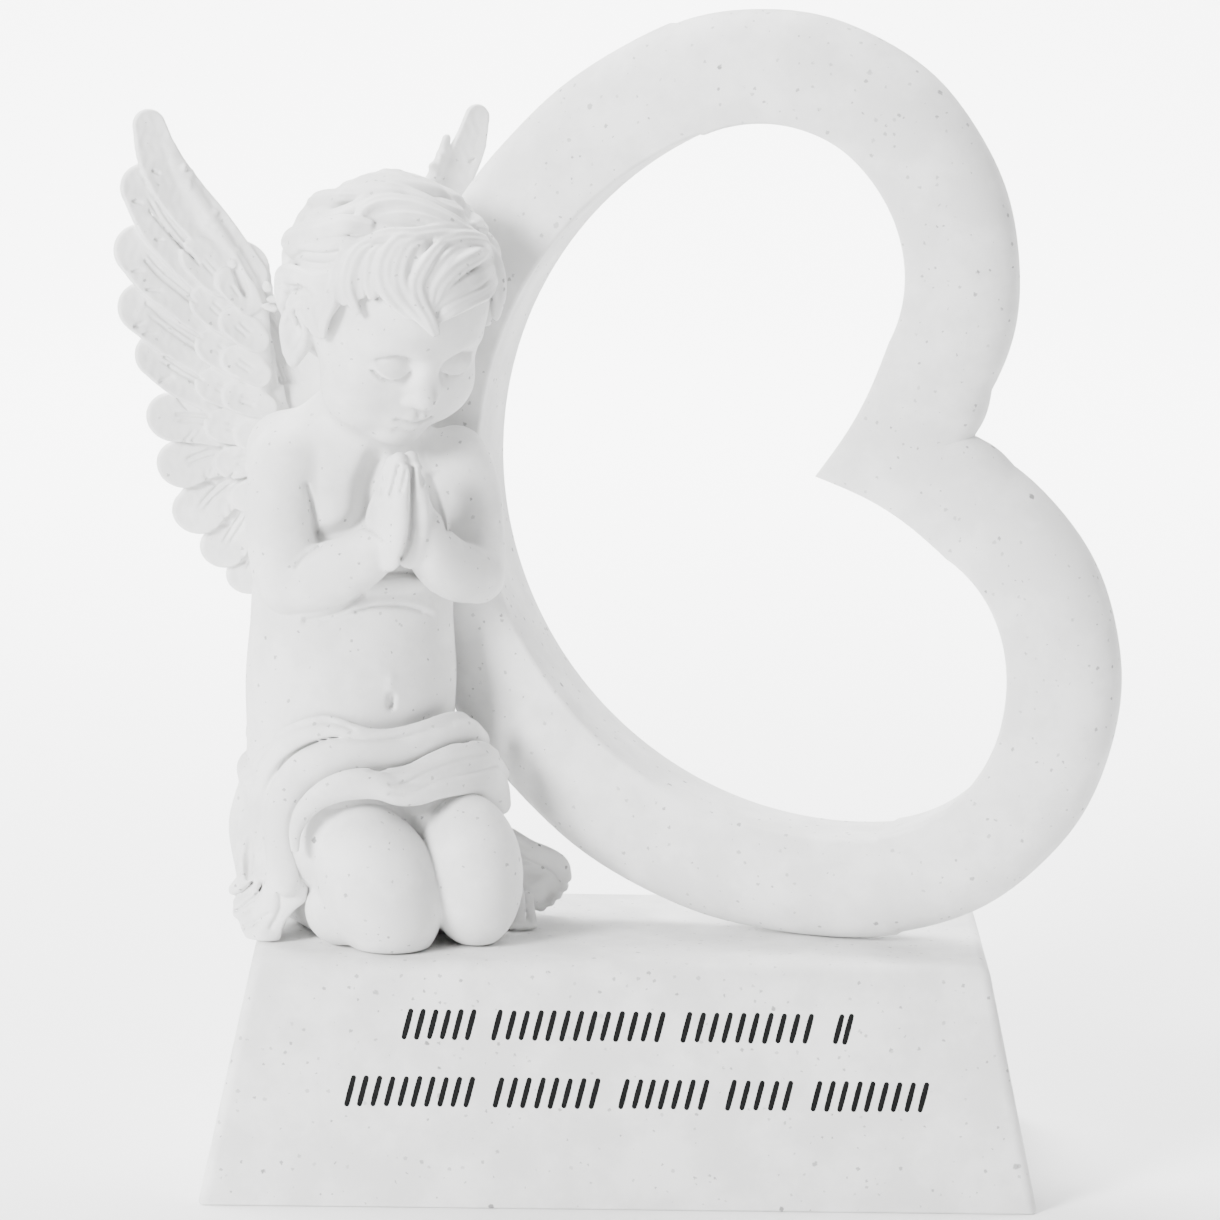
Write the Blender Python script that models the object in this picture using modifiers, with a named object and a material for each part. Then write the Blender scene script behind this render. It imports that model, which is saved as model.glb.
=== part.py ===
"""Angel memorial plaque: a kneeling cherub beside a leaning heart ring, on a battered base block.

Row frame in metres: origin at the centre of the base's underside, +X to the viewer's right,
+Y away from the viewer, +Z up. Every piece is a solid resin casting that rests on the next one.
"""
import math

import bmesh
import bpy
from mathutils import Matrix, Vector

MM = 0.001
GAP = 0.3 * MM                      # left between castings that are glued together
STONE_WHITE = (0.86, 0.86, 0.85, 1.0)

# Base block: a frustum with softened edges
BASE_HEIGHT = 40.0 * MM
BASE_TOP = (121.0 * MM, 52.0 * MM)
BASE_BOTTOM = (138.0 * MM, 66.0 * MM)
BASE_EDGE = 1.8 * MM

# Heart ring: drawn in its own plane with its point at the lower left, then leant on its lobes
RING_FOOT = Vector((37.0 * MM, -5.4 * MM, BASE_HEIGHT))
RING_TURN = math.radians(15.0)      # its left side stands farther back
RING_ROLL = math.radians(15.5)      # the heart's axis above the horizontal
RING_NOTCH = (-6.2 * MM, 118.5 * MM)
RING_DEPTH = 16.2 * MM
BIG_CENTRE = 5.2 * MM
BIG_RADIUS = 60.5 * MM
LOBE_CENTRE = (0.9 * MM, 35.8 * MM)
LOBE_RADIUS = 24.0 * MM
LOBE_END = math.radians(-42.7)      # where a lobe's arc runs straight on to the notch
NOTCH_INNER = 1.2 * MM
NOTCH_OUTER = 28.4 * MM
RING_WALL = 17.6 * MM
FOOT_WALL = 2.6 * MM                # added to the wall above the foot
SECTION_POINTS = 8

# Cherub: a body frame turned to the viewer's right; lateral, forward and height are in millimetres
BODY_ORIGIN = Vector((-45.0, -2.0, 0.0))
BODY_TURN = math.radians(22.0)
HEAD_CENTRE = Vector((-38.8, -11.0, 148.6))
HEAD_TURN = math.radians(32.0)
HEAD_BOW = math.radians(26.0)
FIGURE_VOXEL = 1.0 * MM
FIGURE_SHARE = 0.083
BACK_FACE = -12.6                   # forward coordinate of the flat that carries the wings

# Wings: outlines in the body frame, sweeping back as they spread
FEATHER_ANGLES = (55.5, 43, 33, 26, 18, 6, -10, -30, -53, -76)
FEATHER_LENGTHS = (37.0, 32.0, 28.6, 26.2, 22.6, 20.0, 18.0, 17.0, 16.0, 14.4)
FEATHER_WIDTHS = (5.0, 5.0, 4.9, 4.8, 4.6, 4.4, 4.0, 3.8, 3.6, 3.2)
WRIST = (9.8, 146.0)
WING_PITCH = 4.4                    # step down the wing's arm from one feather's root to the next
WING_VOXEL = 0.75 * MM
WING_SHARE = 0.09


def clear_scene():
    """Remove whatever the file holds."""
    for item in list(bpy.data.objects):
        bpy.data.objects.remove(item)


def collection(name):
    """Make a collection linked to the scene."""
    group = bpy.data.collections.new(name)
    bpy.context.scene.collection.children.link(group)
    return group


def stone(name):
    """Matt white cast stone for one piece."""
    material = bpy.data.materials.new(name)
    material.use_nodes = True
    shader = material.node_tree.nodes["Principled BSDF"]
    shader.inputs["Base Color"].default_value = STONE_WHITE
    shader.inputs["Roughness"].default_value = 0.75
    shader.inputs["Metallic"].default_value = 0.0
    return material


def add_piece(name, bm, group, smooth_angle=40.0):
    """Turn a bmesh into a named object with its own material."""
    mesh = bpy.data.meshes.new(name)
    bmesh.ops.recalc_face_normals(bm, faces=bm.faces[:])
    bm.to_mesh(mesh)
    bm.free()
    piece = bpy.data.objects.new(name, mesh)
    piece.data.materials.append(stone(name + "_stone"))
    group.objects.link(piece)
    mesh.shade_smooth()
    mesh.set_sharp_from_angle(angle=math.radians(smooth_angle))
    return piece


def cut(piece, cutter):
    """Subtract a cutter that isn't itself part of the model."""
    cutter.hide_render = True
    cutter.display_type = "WIRE"
    modifier = piece.modifiers.new("cut_" + cutter.name, "BOOLEAN")
    modifier.operation = "DIFFERENCE"
    modifier.solver = "EXACT"
    modifier.object = cutter


def box_cutter(name, low, high, group, matrix=None):
    """A box from its low to its high corner, in metres, moved by an optional matrix."""
    bm = bmesh.new()
    bmesh.ops.create_cube(bm, size=1.0)
    low, high = Vector(low), Vector(high)
    for vert in bm.verts:
        vert.co = low + Vector(s * (c + 0.5) for s, c in zip(high - low, vert.co))
    if matrix is not None:
        bmesh.ops.transform(bm, matrix=matrix, verts=bm.verts[:])
    return add_piece(name, bm, group)


# ---------------------------------------------------------------------------- base block


def base_block(group):
    """A battered block: a cube whose ends are drawn out to the top and bottom rectangles."""
    bm = bmesh.new()
    bmesh.ops.create_cube(bm, size=1.0)
    for vert in bm.verts:
        width, depth = BASE_TOP if vert.co.z > 0 else BASE_BOTTOM
        height = BASE_HEIGHT if vert.co.z > 0 else 0.0
        vert.co = Vector((vert.co.x * width, vert.co.y * depth, height))
    weight = bm.edges.layers.float.new("bevel_weight_edge")
    for edge in bm.edges:
        at_bottom = all(vert.co.z == 0.0 for vert in edge.verts)
        edge[weight] = 0.35 if at_bottom else 1.0
    piece = add_piece("base_block", bm, group)
    bevel = piece.modifiers.new("softened_edges", "BEVEL")
    bevel.width = BASE_EDGE
    bevel.segments = 3
    bevel.limit_method = "WEIGHT"
    return piece


# ---------------------------------------------------------------------------- heart ring


def arc(centre, radius, start, end, count):
    """Points and outward directions along an arc, from one angle to the other."""
    stations = []
    for step in range(count + 1):
        angle = start + (end - start) * step / count
        direction = Vector((math.cos(angle), math.sin(angle)))
        stations.append((Vector(centre) + radius * direction, direction))
    return stations


def wall_width(direction):
    """Radial thickness of the ring, which is fuller above its foot."""
    downward = -direction.x * math.sin(RING_ROLL) - direction.y * math.cos(RING_ROLL)
    leftward = direction.y * math.sin(RING_ROLL) - direction.x * math.cos(RING_ROLL)
    foot = max(0.0, 0.87 * downward + 0.5 * leftward) ** 3
    return RING_WALL + FOOT_WALL * foot


def half_heart(side):
    """Inner and outer wall points from the mitred notch to the heart's point, for side 1 or -1."""
    tangent = math.atan2(LOBE_CENTRE[1], LOBE_CENTRE[0] - BIG_CENTRE)
    stations = arc(LOBE_CENTRE, LOBE_RADIUS, LOBE_END, tangent, 16)
    stations += arc((BIG_CENTRE, 0.0), BIG_RADIUS, tangent, math.pi, 16)[1:]
    walls = []
    for inner, direction in stations:
        inner = Vector((inner.x, side * inner.y))
        direction = Vector((direction.x, side * direction.y))
        walls.append((inner, inner + direction * wall_width(direction)))
    notch = (Vector((NOTCH_INNER, 0.0)), Vector((NOTCH_OUTER, 0.0)))
    first = walls[0]
    run = [tuple(start.lerp(end, share) for start, end in zip(notch, first)) for share in (0.25, 0.5, 0.75)]
    return [notch] + run + walls


def heart_ring(name, group, offset=0.0):
    """Loft a D-shaped section round the heart; offset grows it for use as a cutter."""
    stations = half_heart(1) + half_heart(-1)[1:-1][::-1]
    lean = Vector((math.cos(RING_TURN), -math.sin(RING_TURN), 0.0))
    back = Vector((math.sin(RING_TURN), math.cos(RING_TURN), 0.0))
    bm = bmesh.new()
    rings = []
    for inner, outer in stations:
        width = (outer - inner).length
        direction = (outer - inner) / width
        profile = []
        for step in range(SECTION_POINTS + 1):
            angle = math.pi * (step / SECTION_POINTS - 0.5)
            reach = max(0.0, math.cos(angle)) ** 0.9 * (width + offset)
            side = math.copysign(abs(math.sin(angle)) ** 0.9, math.sin(angle))
            profile.append((reach, side * (RING_DEPTH / 2 + offset)))
        profile = [(-offset, profile[0][1])] + profile[1:-1] + [(-offset, profile[-1][1])]
        ring = []
        for reach, depth in profile:
            flat = inner + direction * reach
            across = flat.x * math.cos(RING_ROLL) - flat.y * math.sin(RING_ROLL) + RING_NOTCH[0]
            height = flat.x * math.sin(RING_ROLL) + flat.y * math.cos(RING_ROLL) + RING_NOTCH[1]
            place = RING_FOOT + lean * across + back * depth
            place.z = max(height, BASE_HEIGHT + GAP - offset)
            ring.append(bm.verts.new(place))
        rings.append(ring)
    for current, following in zip(rings, rings[1:] + rings[:1]):
        for side in range(len(current)):
            nxt = (side + 1) % len(current)
            bm.faces.new((current[side], current[nxt], following[nxt], following[side]))
    return add_piece(name, bm, group)


# ---------------------------------------------------------------------------- soft forms


def body_point(lateral, forward, height):
    """A point of the cherub's body frame, in metres."""
    side = Vector((math.cos(BODY_TURN), math.sin(BODY_TURN), 0.0))
    front = Vector((math.sin(BODY_TURN), -math.cos(BODY_TURN), 0.0))
    return (BODY_ORIGIN + side * lateral + front * forward + Vector((0, 0, height))) * MM


def unit_sphere(segments, rings):
    """A mesh of a sphere of radius 1, to be stretched and turned where it is used."""
    sphere = bmesh.new()
    bmesh.ops.create_uvsphere(sphere, u_segments=segments, v_segments=rings, radius=1.0)
    mesh = bpy.data.meshes.new("unit_sphere")
    sphere.to_mesh(mesh)
    sphere.free()
    return mesh


def ball(bm, centre, semi, axes=None):
    """An ellipsoid with its centre and semi-axes in metres."""
    turn = axes.to_4x4() if axes is not None else Matrix.Rotation(BODY_TURN, 4, "Z")
    sphere = unit_sphere(24, 14)
    sphere.transform(Matrix.Translation(centre) @ turn @ Matrix.Diagonal((*semi, 1.0)))
    bm.from_mesh(sphere)


def limb(bm, points, radii):
    """A round limb that swells and tapers along a smooth path, closed by round ends."""
    curve = bpy.data.curves.new("limb", "CURVE")
    curve.dimensions = "3D"
    curve.bevel_depth = 1.0
    curve.bevel_resolution = 3
    curve.use_fill_caps = True
    spline = curve.splines.new("POLY")
    path, widths = smooth_path(points, radii)
    spline.points.add(len(path) - 1)
    for place, point, width in zip(path, spline.points, widths):
        point.co = (*place, 1.0)
        point.radius = width
    guide = bpy.data.objects.new("limb", curve)
    bm.from_mesh(bpy.data.meshes.new_from_object(guide))
    bpy.data.objects.remove(guide)
    for place, width in ((path[0], widths[0]), (path[-1], widths[-1])):
        ball(bm, place, (width, width, width))


def smooth_path(points, radii, steps=6):
    """Pass a Catmull-Rom curve through the points, with the radii eased between them."""
    points = [Vector(point) for point in points]
    if len(points) == 2:
        return points, list(radii)
    padded = [2 * points[0] - points[1]] + points + [2 * points[-1] - points[-2]]
    path, widths = [], []
    for index in range(len(points) - 1):
        before, start, end, after = padded[index:index + 4]
        for step in range(steps):
            t = step / steps
            cubic = 3 * (start - end) + after - before
            square = 2 * before - 5 * start + 4 * end - after
            path.append(0.5 * (2 * start + (end - before) * t + square * t * t + cubic * t ** 3))
            widths.append(radii[index] + (radii[index + 1] - radii[index]) * t)
    return path + [points[-1]], widths + [radii[-1]]


def fuse(name, bm, group, voxel, share, smoothing=3):
    """Melt overlapping shapes into one skin, soften it and keep a share of its triangles."""
    piece = add_piece(name, bm, group, smooth_angle=180.0)
    melt = piece.modifiers.new("melt", "REMESH")
    melt.mode = "VOXEL"
    melt.voxel_size = voxel
    soften = piece.modifiers.new("soften", "SMOOTH")
    soften.factor = 0.5
    soften.iterations = smoothing
    thin = piece.modifiers.new("thin", "DECIMATE")
    thin.ratio = share
    return piece


# ---------------------------------------------------------------------------- cherub


def torso(bm):
    """Hips, belly, ribs and the pad between the shoulder blades."""
    ball(bm, body_point(-0.5, 0, 104), (16.0 * MM, 12.2 * MM, 19.0 * MM))
    ball(bm, body_point(-0.3, 0, 90), (18.2 * MM, 13.4 * MM, 26.0 * MM))
    ball(bm, body_point(1, 1, 66), (20.5 * MM, 15.0 * MM, 15.0 * MM))
    ball(bm, body_point(0, -6, 117), (10.0 * MM, 8.0 * MM, 17.0 * MM))
    limb(bm, [body_point(-12, 1, 117), body_point(12, 1, 117)], (7.0 * MM, 7.0 * MM))
    limb(bm, [body_point(0, 1, 116), body_point(2, 4, 136)], (8.5 * MM, 8.0 * MM))


def arms(bm):
    """Both arms, bent up to hands pressed palm to palm under the chin."""
    left = [(-12.6, 0.6, 118.5), (-13.4, 2.5, 110), (-13.4, 5.0, 101), (-7.5, 11.0, 102.5), (-2.6, 17.5, 107.5)]
    right = [(12.0, 0.0, 118.5), (13.6, 2.0, 110), (14.6, 6.5, 101.5), (8.8, 13.0, 102), (2.6, 17.5, 107)]
    radii = [6.4 * MM, 5.6 * MM, 5.6 * MM, 5.2 * MM, 3.9 * MM]
    for joints in (left, right):
        limb(bm, [body_point(*joint) for joint in joints[:3]], radii[:3])
        limb(bm, [body_point(*joint) for joint in joints[2:]], radii[2:])
    for side in (-1, 1):
        palm = body_point(side * 2.5, 20.0, 112)
        ball(bm, palm, (2.6 * MM, 4.6 * MM, 6.5 * MM))
        for finger in range(4):
            forward = 17.4 + 1.9 * finger
            tip = 124.0 - 0.9 * abs(finger - 1.2) ** 1.5
            knuckle = body_point(side * 2.0, forward + 0.4, 115)
            limb(bm, [knuckle, body_point(side * 1.2, forward - 1.6, tip)], (1.5 * MM, 1.0 * MM))
        limb(bm, [body_point(side * 2.4, 16.6, 109), body_point(side * 1.6, 14.6, 116)], (1.7 * MM, 1.3 * MM))


def legs(bm):
    """Thighs pressed together, with the shins folded back beneath and the feet turned out."""
    left = ((-1.0, 12.6, 50.0), 11.7, (-11.0, -10.0, 46.0), (-5.0, -25.0, 44.0))
    right = ((13.6, 14.0, 49.2), 10.3, (25.6, 1.5, 49.0), (37.0, 2.6, 45.6))
    for side, (knee, width, ankle, toes) in ((-1, left), (1, right)):
        hip = body_point(side * 7.0 + 3.0, 1.0, 65)
        limb(bm, [hip, body_point(*knee)], (13.5 * MM, width * MM))
        shin = body_point(knee[0] + side * 1.5, knee[1] - 5.0, 47.5)
        ankle = body_point(*ankle)
        toes = body_point(*toes)
        limb(bm, [shin, ankle], (7.6 * MM, 5.8 * MM))
        limb(bm, [ankle, ankle.lerp(toes, 0.5), toes], (5.8 * MM, 4.4 * MM, 3.4 * MM))


def drape(bm):
    """Cloth wound round the hips in soft rolls, with its end hanging beside the left thigh."""
    rolls = 4
    steps = 24
    for roll in range(rolls):
        share = roll / (rolls - 1)
        path, widths = [], []
        for step in range(steps):
            angle = 2.0 * math.pi * step / steps
            front = max(0.0, math.cos(angle))
            lateral = math.sin(angle) * (18.0 + 2.4 * share) + 0.6 + 2.4 * share
            forward = math.cos(angle) * (12.8 + 3.4 * share) + 1.0 * share
            swag = -3.0 * front ** 2 + 1.6 * math.sin(angle) * front
            path.append(body_point(lateral, forward, 75.5 - 13.5 * share + swag))
            widths.append((2.5 + 0.4 * math.sin(2 * angle + 2 * roll)) * MM)
        limb(bm, path + [path[0]], widths + [widths[0]])
    for fold in range(4):
        top = body_point(-16.4 + 0.9 * fold, -3.4 + 3.6 * fold, 68)
        middle = body_point(-16.8 + 0.9 * fold, -2.6 + 3.4 * fold, 55)
        hem = body_point(-18.6 + 0.6 * fold, -0.5 + 2.4 * fold, 45.5)
        foot = body_point(-17.4 + 0.3 * fold, 1.5 + 1.6 * fold, 41.5)
        limb(bm, [top, middle, hem, foot], (2.6 * MM, 2.5 * MM, 2.2 * MM, 1.8 * MM))


def head_axes():
    """Columns of the head's lateral, forward and upward directions."""
    lateral = Vector((math.cos(HEAD_TURN), math.sin(HEAD_TURN), 0.0))
    level = Vector((math.sin(HEAD_TURN), -math.cos(HEAD_TURN), 0.0))
    forward = level * math.cos(HEAD_BOW) - Vector((0, 0, math.sin(HEAD_BOW)))
    upward = level * math.sin(HEAD_BOW) + Vector((0, 0, math.cos(HEAD_BOW)))
    return lateral, forward, upward


def head_point(lateral, forward, upward):
    """A point of the head frame, in metres."""
    side, front, top = head_axes()
    return (HEAD_CENTRE + side * lateral + front * forward + top * upward) * MM


def head(bm):
    """A round infant head, bowed, with full cheeks, a button nose and small ears."""
    side, front, top = head_axes()
    axes = Matrix((side, -front, top)).transposed()
    ball(bm, head_point(0, -1.0, 1.0), (15.4 * MM, 17.0 * MM, 15.2 * MM), axes)
    ball(bm, head_point(0, 4.0, -9.0), (14.2 * MM, 12.6 * MM, 14.0 * MM), axes)
    for sign in (-1, 1):
        ball(bm, head_point(sign * 6.6, 8.2, -14.5), (6.4 * MM, 6.0 * MM, 6.6 * MM), axes)
        ball(bm, head_point(sign * 15.2, -1.5, -5.5), (1.8 * MM, 3.0 * MM, 4.6 * MM), axes)
    ball(bm, head_point(0, 10.0, -21.0), (5.0 * MM, 4.2 * MM, 3.8 * MM), axes)
    ball(bm, head_point(0, 16.6, -10.0), (1.8 * MM, 1.9 * MM, 1.6 * MM), axes)


def hair(bm):
    """Short tousled locks that run out from the crown and turn up at their ends."""
    rows = ((10, 58.0, 9), (44, 88.0, 12), (72, 116.0, 12))
    for row, (start, end, count) in enumerate(rows):
        for lock in range(count):
            azimuth = 2 * math.pi * (lock + 0.5 * row) / count
            facing = math.cos(azimuth)
            stop = end - (18.0 * row) * max(0.0, facing) - 6.0 * row * (1.0 - abs(facing))
            path, widths = [], []
            for step in range(4):
                polar = math.radians(start + (stop - start) * step / 3)
                twist = azimuth + 0.35 * math.sin(2.2 * step + 1.7 * lock)
                lift = 1.0 + 0.02 * step
                lateral = 15.8 * lift * math.sin(polar) * math.sin(twist)
                forward = 17.2 * lift * math.sin(polar) * math.cos(twist) - 1.0
                upward = 15.6 * lift * math.cos(polar) + 1.0
                path.append(head_point(lateral, forward, upward))
                widths.append((2.2, 3.2, 2.8, 1.2)[step] * MM)
            limb(bm, path, widths)


def cherub(group, cutters, ring_cutter):
    """The whole figure, cast in one with its drape and hair."""
    bm = bmesh.new()
    for build in (torso, arms, legs, drape, head, hair):
        build(bm)
    piece = fuse("cherub", bm, group, FIGURE_VOXEL, FIGURE_SHARE)
    floor = box_cutter("floor_cutter", (-0.1, -0.1, 0.0), (0.1, 0.1, BASE_HEIGHT + GAP), cutters)
    cut(piece, floor)
    low = Vector((-14.0, -40.0, 98.0)) * MM
    high = Vector((14.0, BACK_FACE, 136.0)) * MM
    cut(piece, box_cutter("back_cutter", low, high, cutters, body_matrix()))
    cut(piece, ring_cutter)
    return piece


def body_matrix():
    """Moves a shape given as lateral, forward and height into the row frame."""
    side = Vector((math.cos(BODY_TURN), math.sin(BODY_TURN), 0.0))
    front = Vector((math.sin(BODY_TURN), -math.cos(BODY_TURN), 0.0))
    turn = Matrix((side, front, Vector((0, 0, 1)))).transposed()
    return Matrix.Translation(BODY_ORIGIN * MM) @ turn.to_4x4()


# ---------------------------------------------------------------------------- wings


def wing_point(sign, lateral, height, proud=0.0):
    """A point of the wing's curved surface; proud lifts it towards the viewer."""
    sweep = 11.0 + 6.0 * (1.0 - math.exp(-lateral / 5.0)) + 0.28 * lateral
    return body_point(sign * lateral, proud - sweep, height)


def plate(bm, sign, root, tip, width, proud, thickness):
    """One flat feather: a round-ended blade laid along the wing's surface."""
    blade = unit_sphere(16, 10)
    root, tip = Vector(root), Vector(tip)
    along = (tip - root) / 2
    across = Vector((-along.y, along.x)).normalized() * width
    middle = (root + tip) / 2
    for vert in blade.vertices:
        breadth = math.copysign(abs(vert.co.x) ** 0.8, vert.co.x)
        length = math.copysign(abs(vert.co.z) ** 0.75, vert.co.z)
        span = middle + along * length + across * breadth
        depth = proud + vert.co.y * thickness
        vert.co = wing_point(sign, span.x, span.y, depth)
    bm.from_mesh(blade)


def wing(name, sign, group, cutters, ring_cutter):
    """Three layers of feathers over a root that is glued flat against the back."""
    bm = bmesh.new()
    for index, (angle, length, width) in enumerate(zip(FEATHER_ANGLES, FEATHER_LENGTHS, FEATHER_WIDTHS)):
        direction = Vector((math.cos(math.radians(angle)), math.sin(math.radians(angle))))
        root = Vector((WRIST[0] + 0.8 * math.sin(math.pi * index / 9), WRIST[1] - WING_PITCH * index))
        layers = ((1.0, 0.0, 1.0), (0.68, 0.9, 0.9), (0.42, 1.7, 0.85))
        for reach, proud, spread in layers:
            tip = root + direction * length * reach
            plate(bm, sign, root - direction * 3.0, tip, width * spread, proud, 1.2)
    crest = [wing_point(sign, *place, 0.6) for place in ((4.5, 126), (7.5, 140), (13, 153), (21, 167))]
    limb(bm, crest, (3.0 * MM, 2.8 * MM, 2.4 * MM, 1.6 * MM))
    roots = [wing_point(sign, *place, 0.4) for place in ((4.0, 130), (4.6, 118), (6.0, 106))]
    limb(bm, roots, (3.0 * MM, 3.6 * MM, 2.4 * MM))
    piece = fuse(name, bm, group, WING_VOXEL, WING_SHARE, smoothing=1)
    low = Vector((-40.0, BACK_FACE - GAP / MM, 80.0)) * MM
    cut(piece, box_cutter(name + "_root_cutter", low, Vector((40.0, 20.0, 190.0)) * MM, cutters, body_matrix()))
    cut(piece, ring_cutter)
    return piece


def main():
    """Build every casting of the plaque."""
    clear_scene()
    group = collection("angel_memorial_plaque")
    cutters = collection("cutters")
    base_block(group)
    heart_ring("heart_ring", group)
    ring_cutter = heart_ring("ring_cutter", cutters, offset=GAP)
    cherub(group, cutters, ring_cutter)
    wing("left_wing", -1, group, cutters, ring_cutter)
    wing("right_wing", 1, group, cutters, ring_cutter)


main()
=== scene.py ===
"""Visual model of an angel memorial plaque: a kneeling cherub beside a leaning heart ring.

The forms are sculpted in millimetres and handed to Blender in metres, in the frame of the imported
model: origin under the middle of the base, +X to the viewer's right, +Y away, +Z up.
"""
from __future__ import annotations

import logging
import math
from concurrent.futures import ThreadPoolExecutor
from dataclasses import dataclass
from enum import Enum
from typing import Callable, Sequence

import bmesh
import bpy
import numpy as np
import openvdb
from mathutils import Matrix, Vector


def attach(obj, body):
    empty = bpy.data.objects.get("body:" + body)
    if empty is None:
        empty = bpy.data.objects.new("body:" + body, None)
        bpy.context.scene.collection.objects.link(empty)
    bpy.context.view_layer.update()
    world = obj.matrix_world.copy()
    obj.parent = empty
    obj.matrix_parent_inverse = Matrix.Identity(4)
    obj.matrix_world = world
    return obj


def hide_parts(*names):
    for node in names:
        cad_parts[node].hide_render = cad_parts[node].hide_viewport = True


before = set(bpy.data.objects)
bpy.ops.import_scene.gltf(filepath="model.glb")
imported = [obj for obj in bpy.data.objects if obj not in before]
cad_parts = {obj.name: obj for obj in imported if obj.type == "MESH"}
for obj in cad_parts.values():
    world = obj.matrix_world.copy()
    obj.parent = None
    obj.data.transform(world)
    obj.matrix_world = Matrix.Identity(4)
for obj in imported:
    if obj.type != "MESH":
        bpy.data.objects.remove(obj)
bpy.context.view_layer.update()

MM = 0.001                    # metres in a millimetre
FAR = 9.0                     # distance, in mm, that stands for "well outside the clay"
TINY = 1e-9                   # keeps a length above nought where it is divided by
SOFT_ZERO = 1e-6              # does the same for the slope of a distance
ROOM = 2.5                    # voxels of room that a stroke keeps round its form
SPREAD = 2.2                  # reach of a pressed line over its width
BLOCK = 44                    # grid points along the side of a block that is worked at once
WORKERS = 4                   # blocks worked side by side
MOST_TRIANGLES = 190_000      # most triangles in one sculpted piece
FRONT = -20.0                 # place before the figure, in mm, from which lines are cast on it
SIGHT = np.array([0.0, 1.0, -0.18])     # direction in which the front view looks
LOG = logging.getLogger("angel_plaque")
Array = np.ndarray
Distance = Callable[[Array, Array, Array], Array]


# ------------------------------------------------------------------------------ sculpting


class Act(Enum):
    """What one stroke does to the clay."""

    ADD = "add"
    CARVE = "carve"
    SCORE = "score"


@dataclass
class Stroke:
    """One form laid on, cut from or scored into the clay."""

    low: Array
    high: Array
    distance: Distance
    act: Act
    blend: float
    depth: float = 0.0


def unit(vector: Sequence[float]) -> Array:
    """Return the vector at length one."""
    v = np.asarray(vector, float)
    return v / max(float(np.linalg.norm(v)), TINY)


def smooth_course(points: Sequence[Sequence[float]], steps: int = 6) -> Array:
    """Pass a soft curve through a few points.

    Args:
        points: Rows to pass through, of any width, such as x, y, z and a radius.
        steps: Stretches between each two rows.

    Returns:
        The rows of the curve, first and last ones included.
    """
    p = np.asarray(points, float)
    if len(p) < 3:
        t = np.linspace(0.0, 1.0, steps + 1)[:, None]
        return p[0] * (1 - t) + p[-1] * t
    padded = np.vstack([2 * p[0] - p[1], p, 2 * p[-1] - p[-2]])
    rows = []
    for a, b, c, d in zip(padded, padded[1:], padded[2:], padded[3:]):
        for t in np.arange(steps) / steps:
            rows.append(0.5 * (2 * b + (c - a) * t + (2 * a - 5 * b + 4 * c - d) * t ** 2
                               + (3 * b - a - 3 * c + d) * t ** 3))
    rows.append(p[-1])
    return np.array(rows)


def grid_part(axes: Sequence[Array], low: Array, high: Array) -> tuple[slice, ...] | None:
    """Find the part of a grid between two corners.

    Args:
        axes: The grid's places along x, y and z.
        low: Lowest corner.
        high: Highest corner.

    Returns:
        A slice for each axis, or None where no point lies between the corners.
    """
    cuts = tuple(slice(*np.searchsorted(line, ends)) for line, ends in zip(axes, zip(low, high)))
    return None if any(cut.start >= cut.stop for cut in cuts) else cuts


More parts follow.
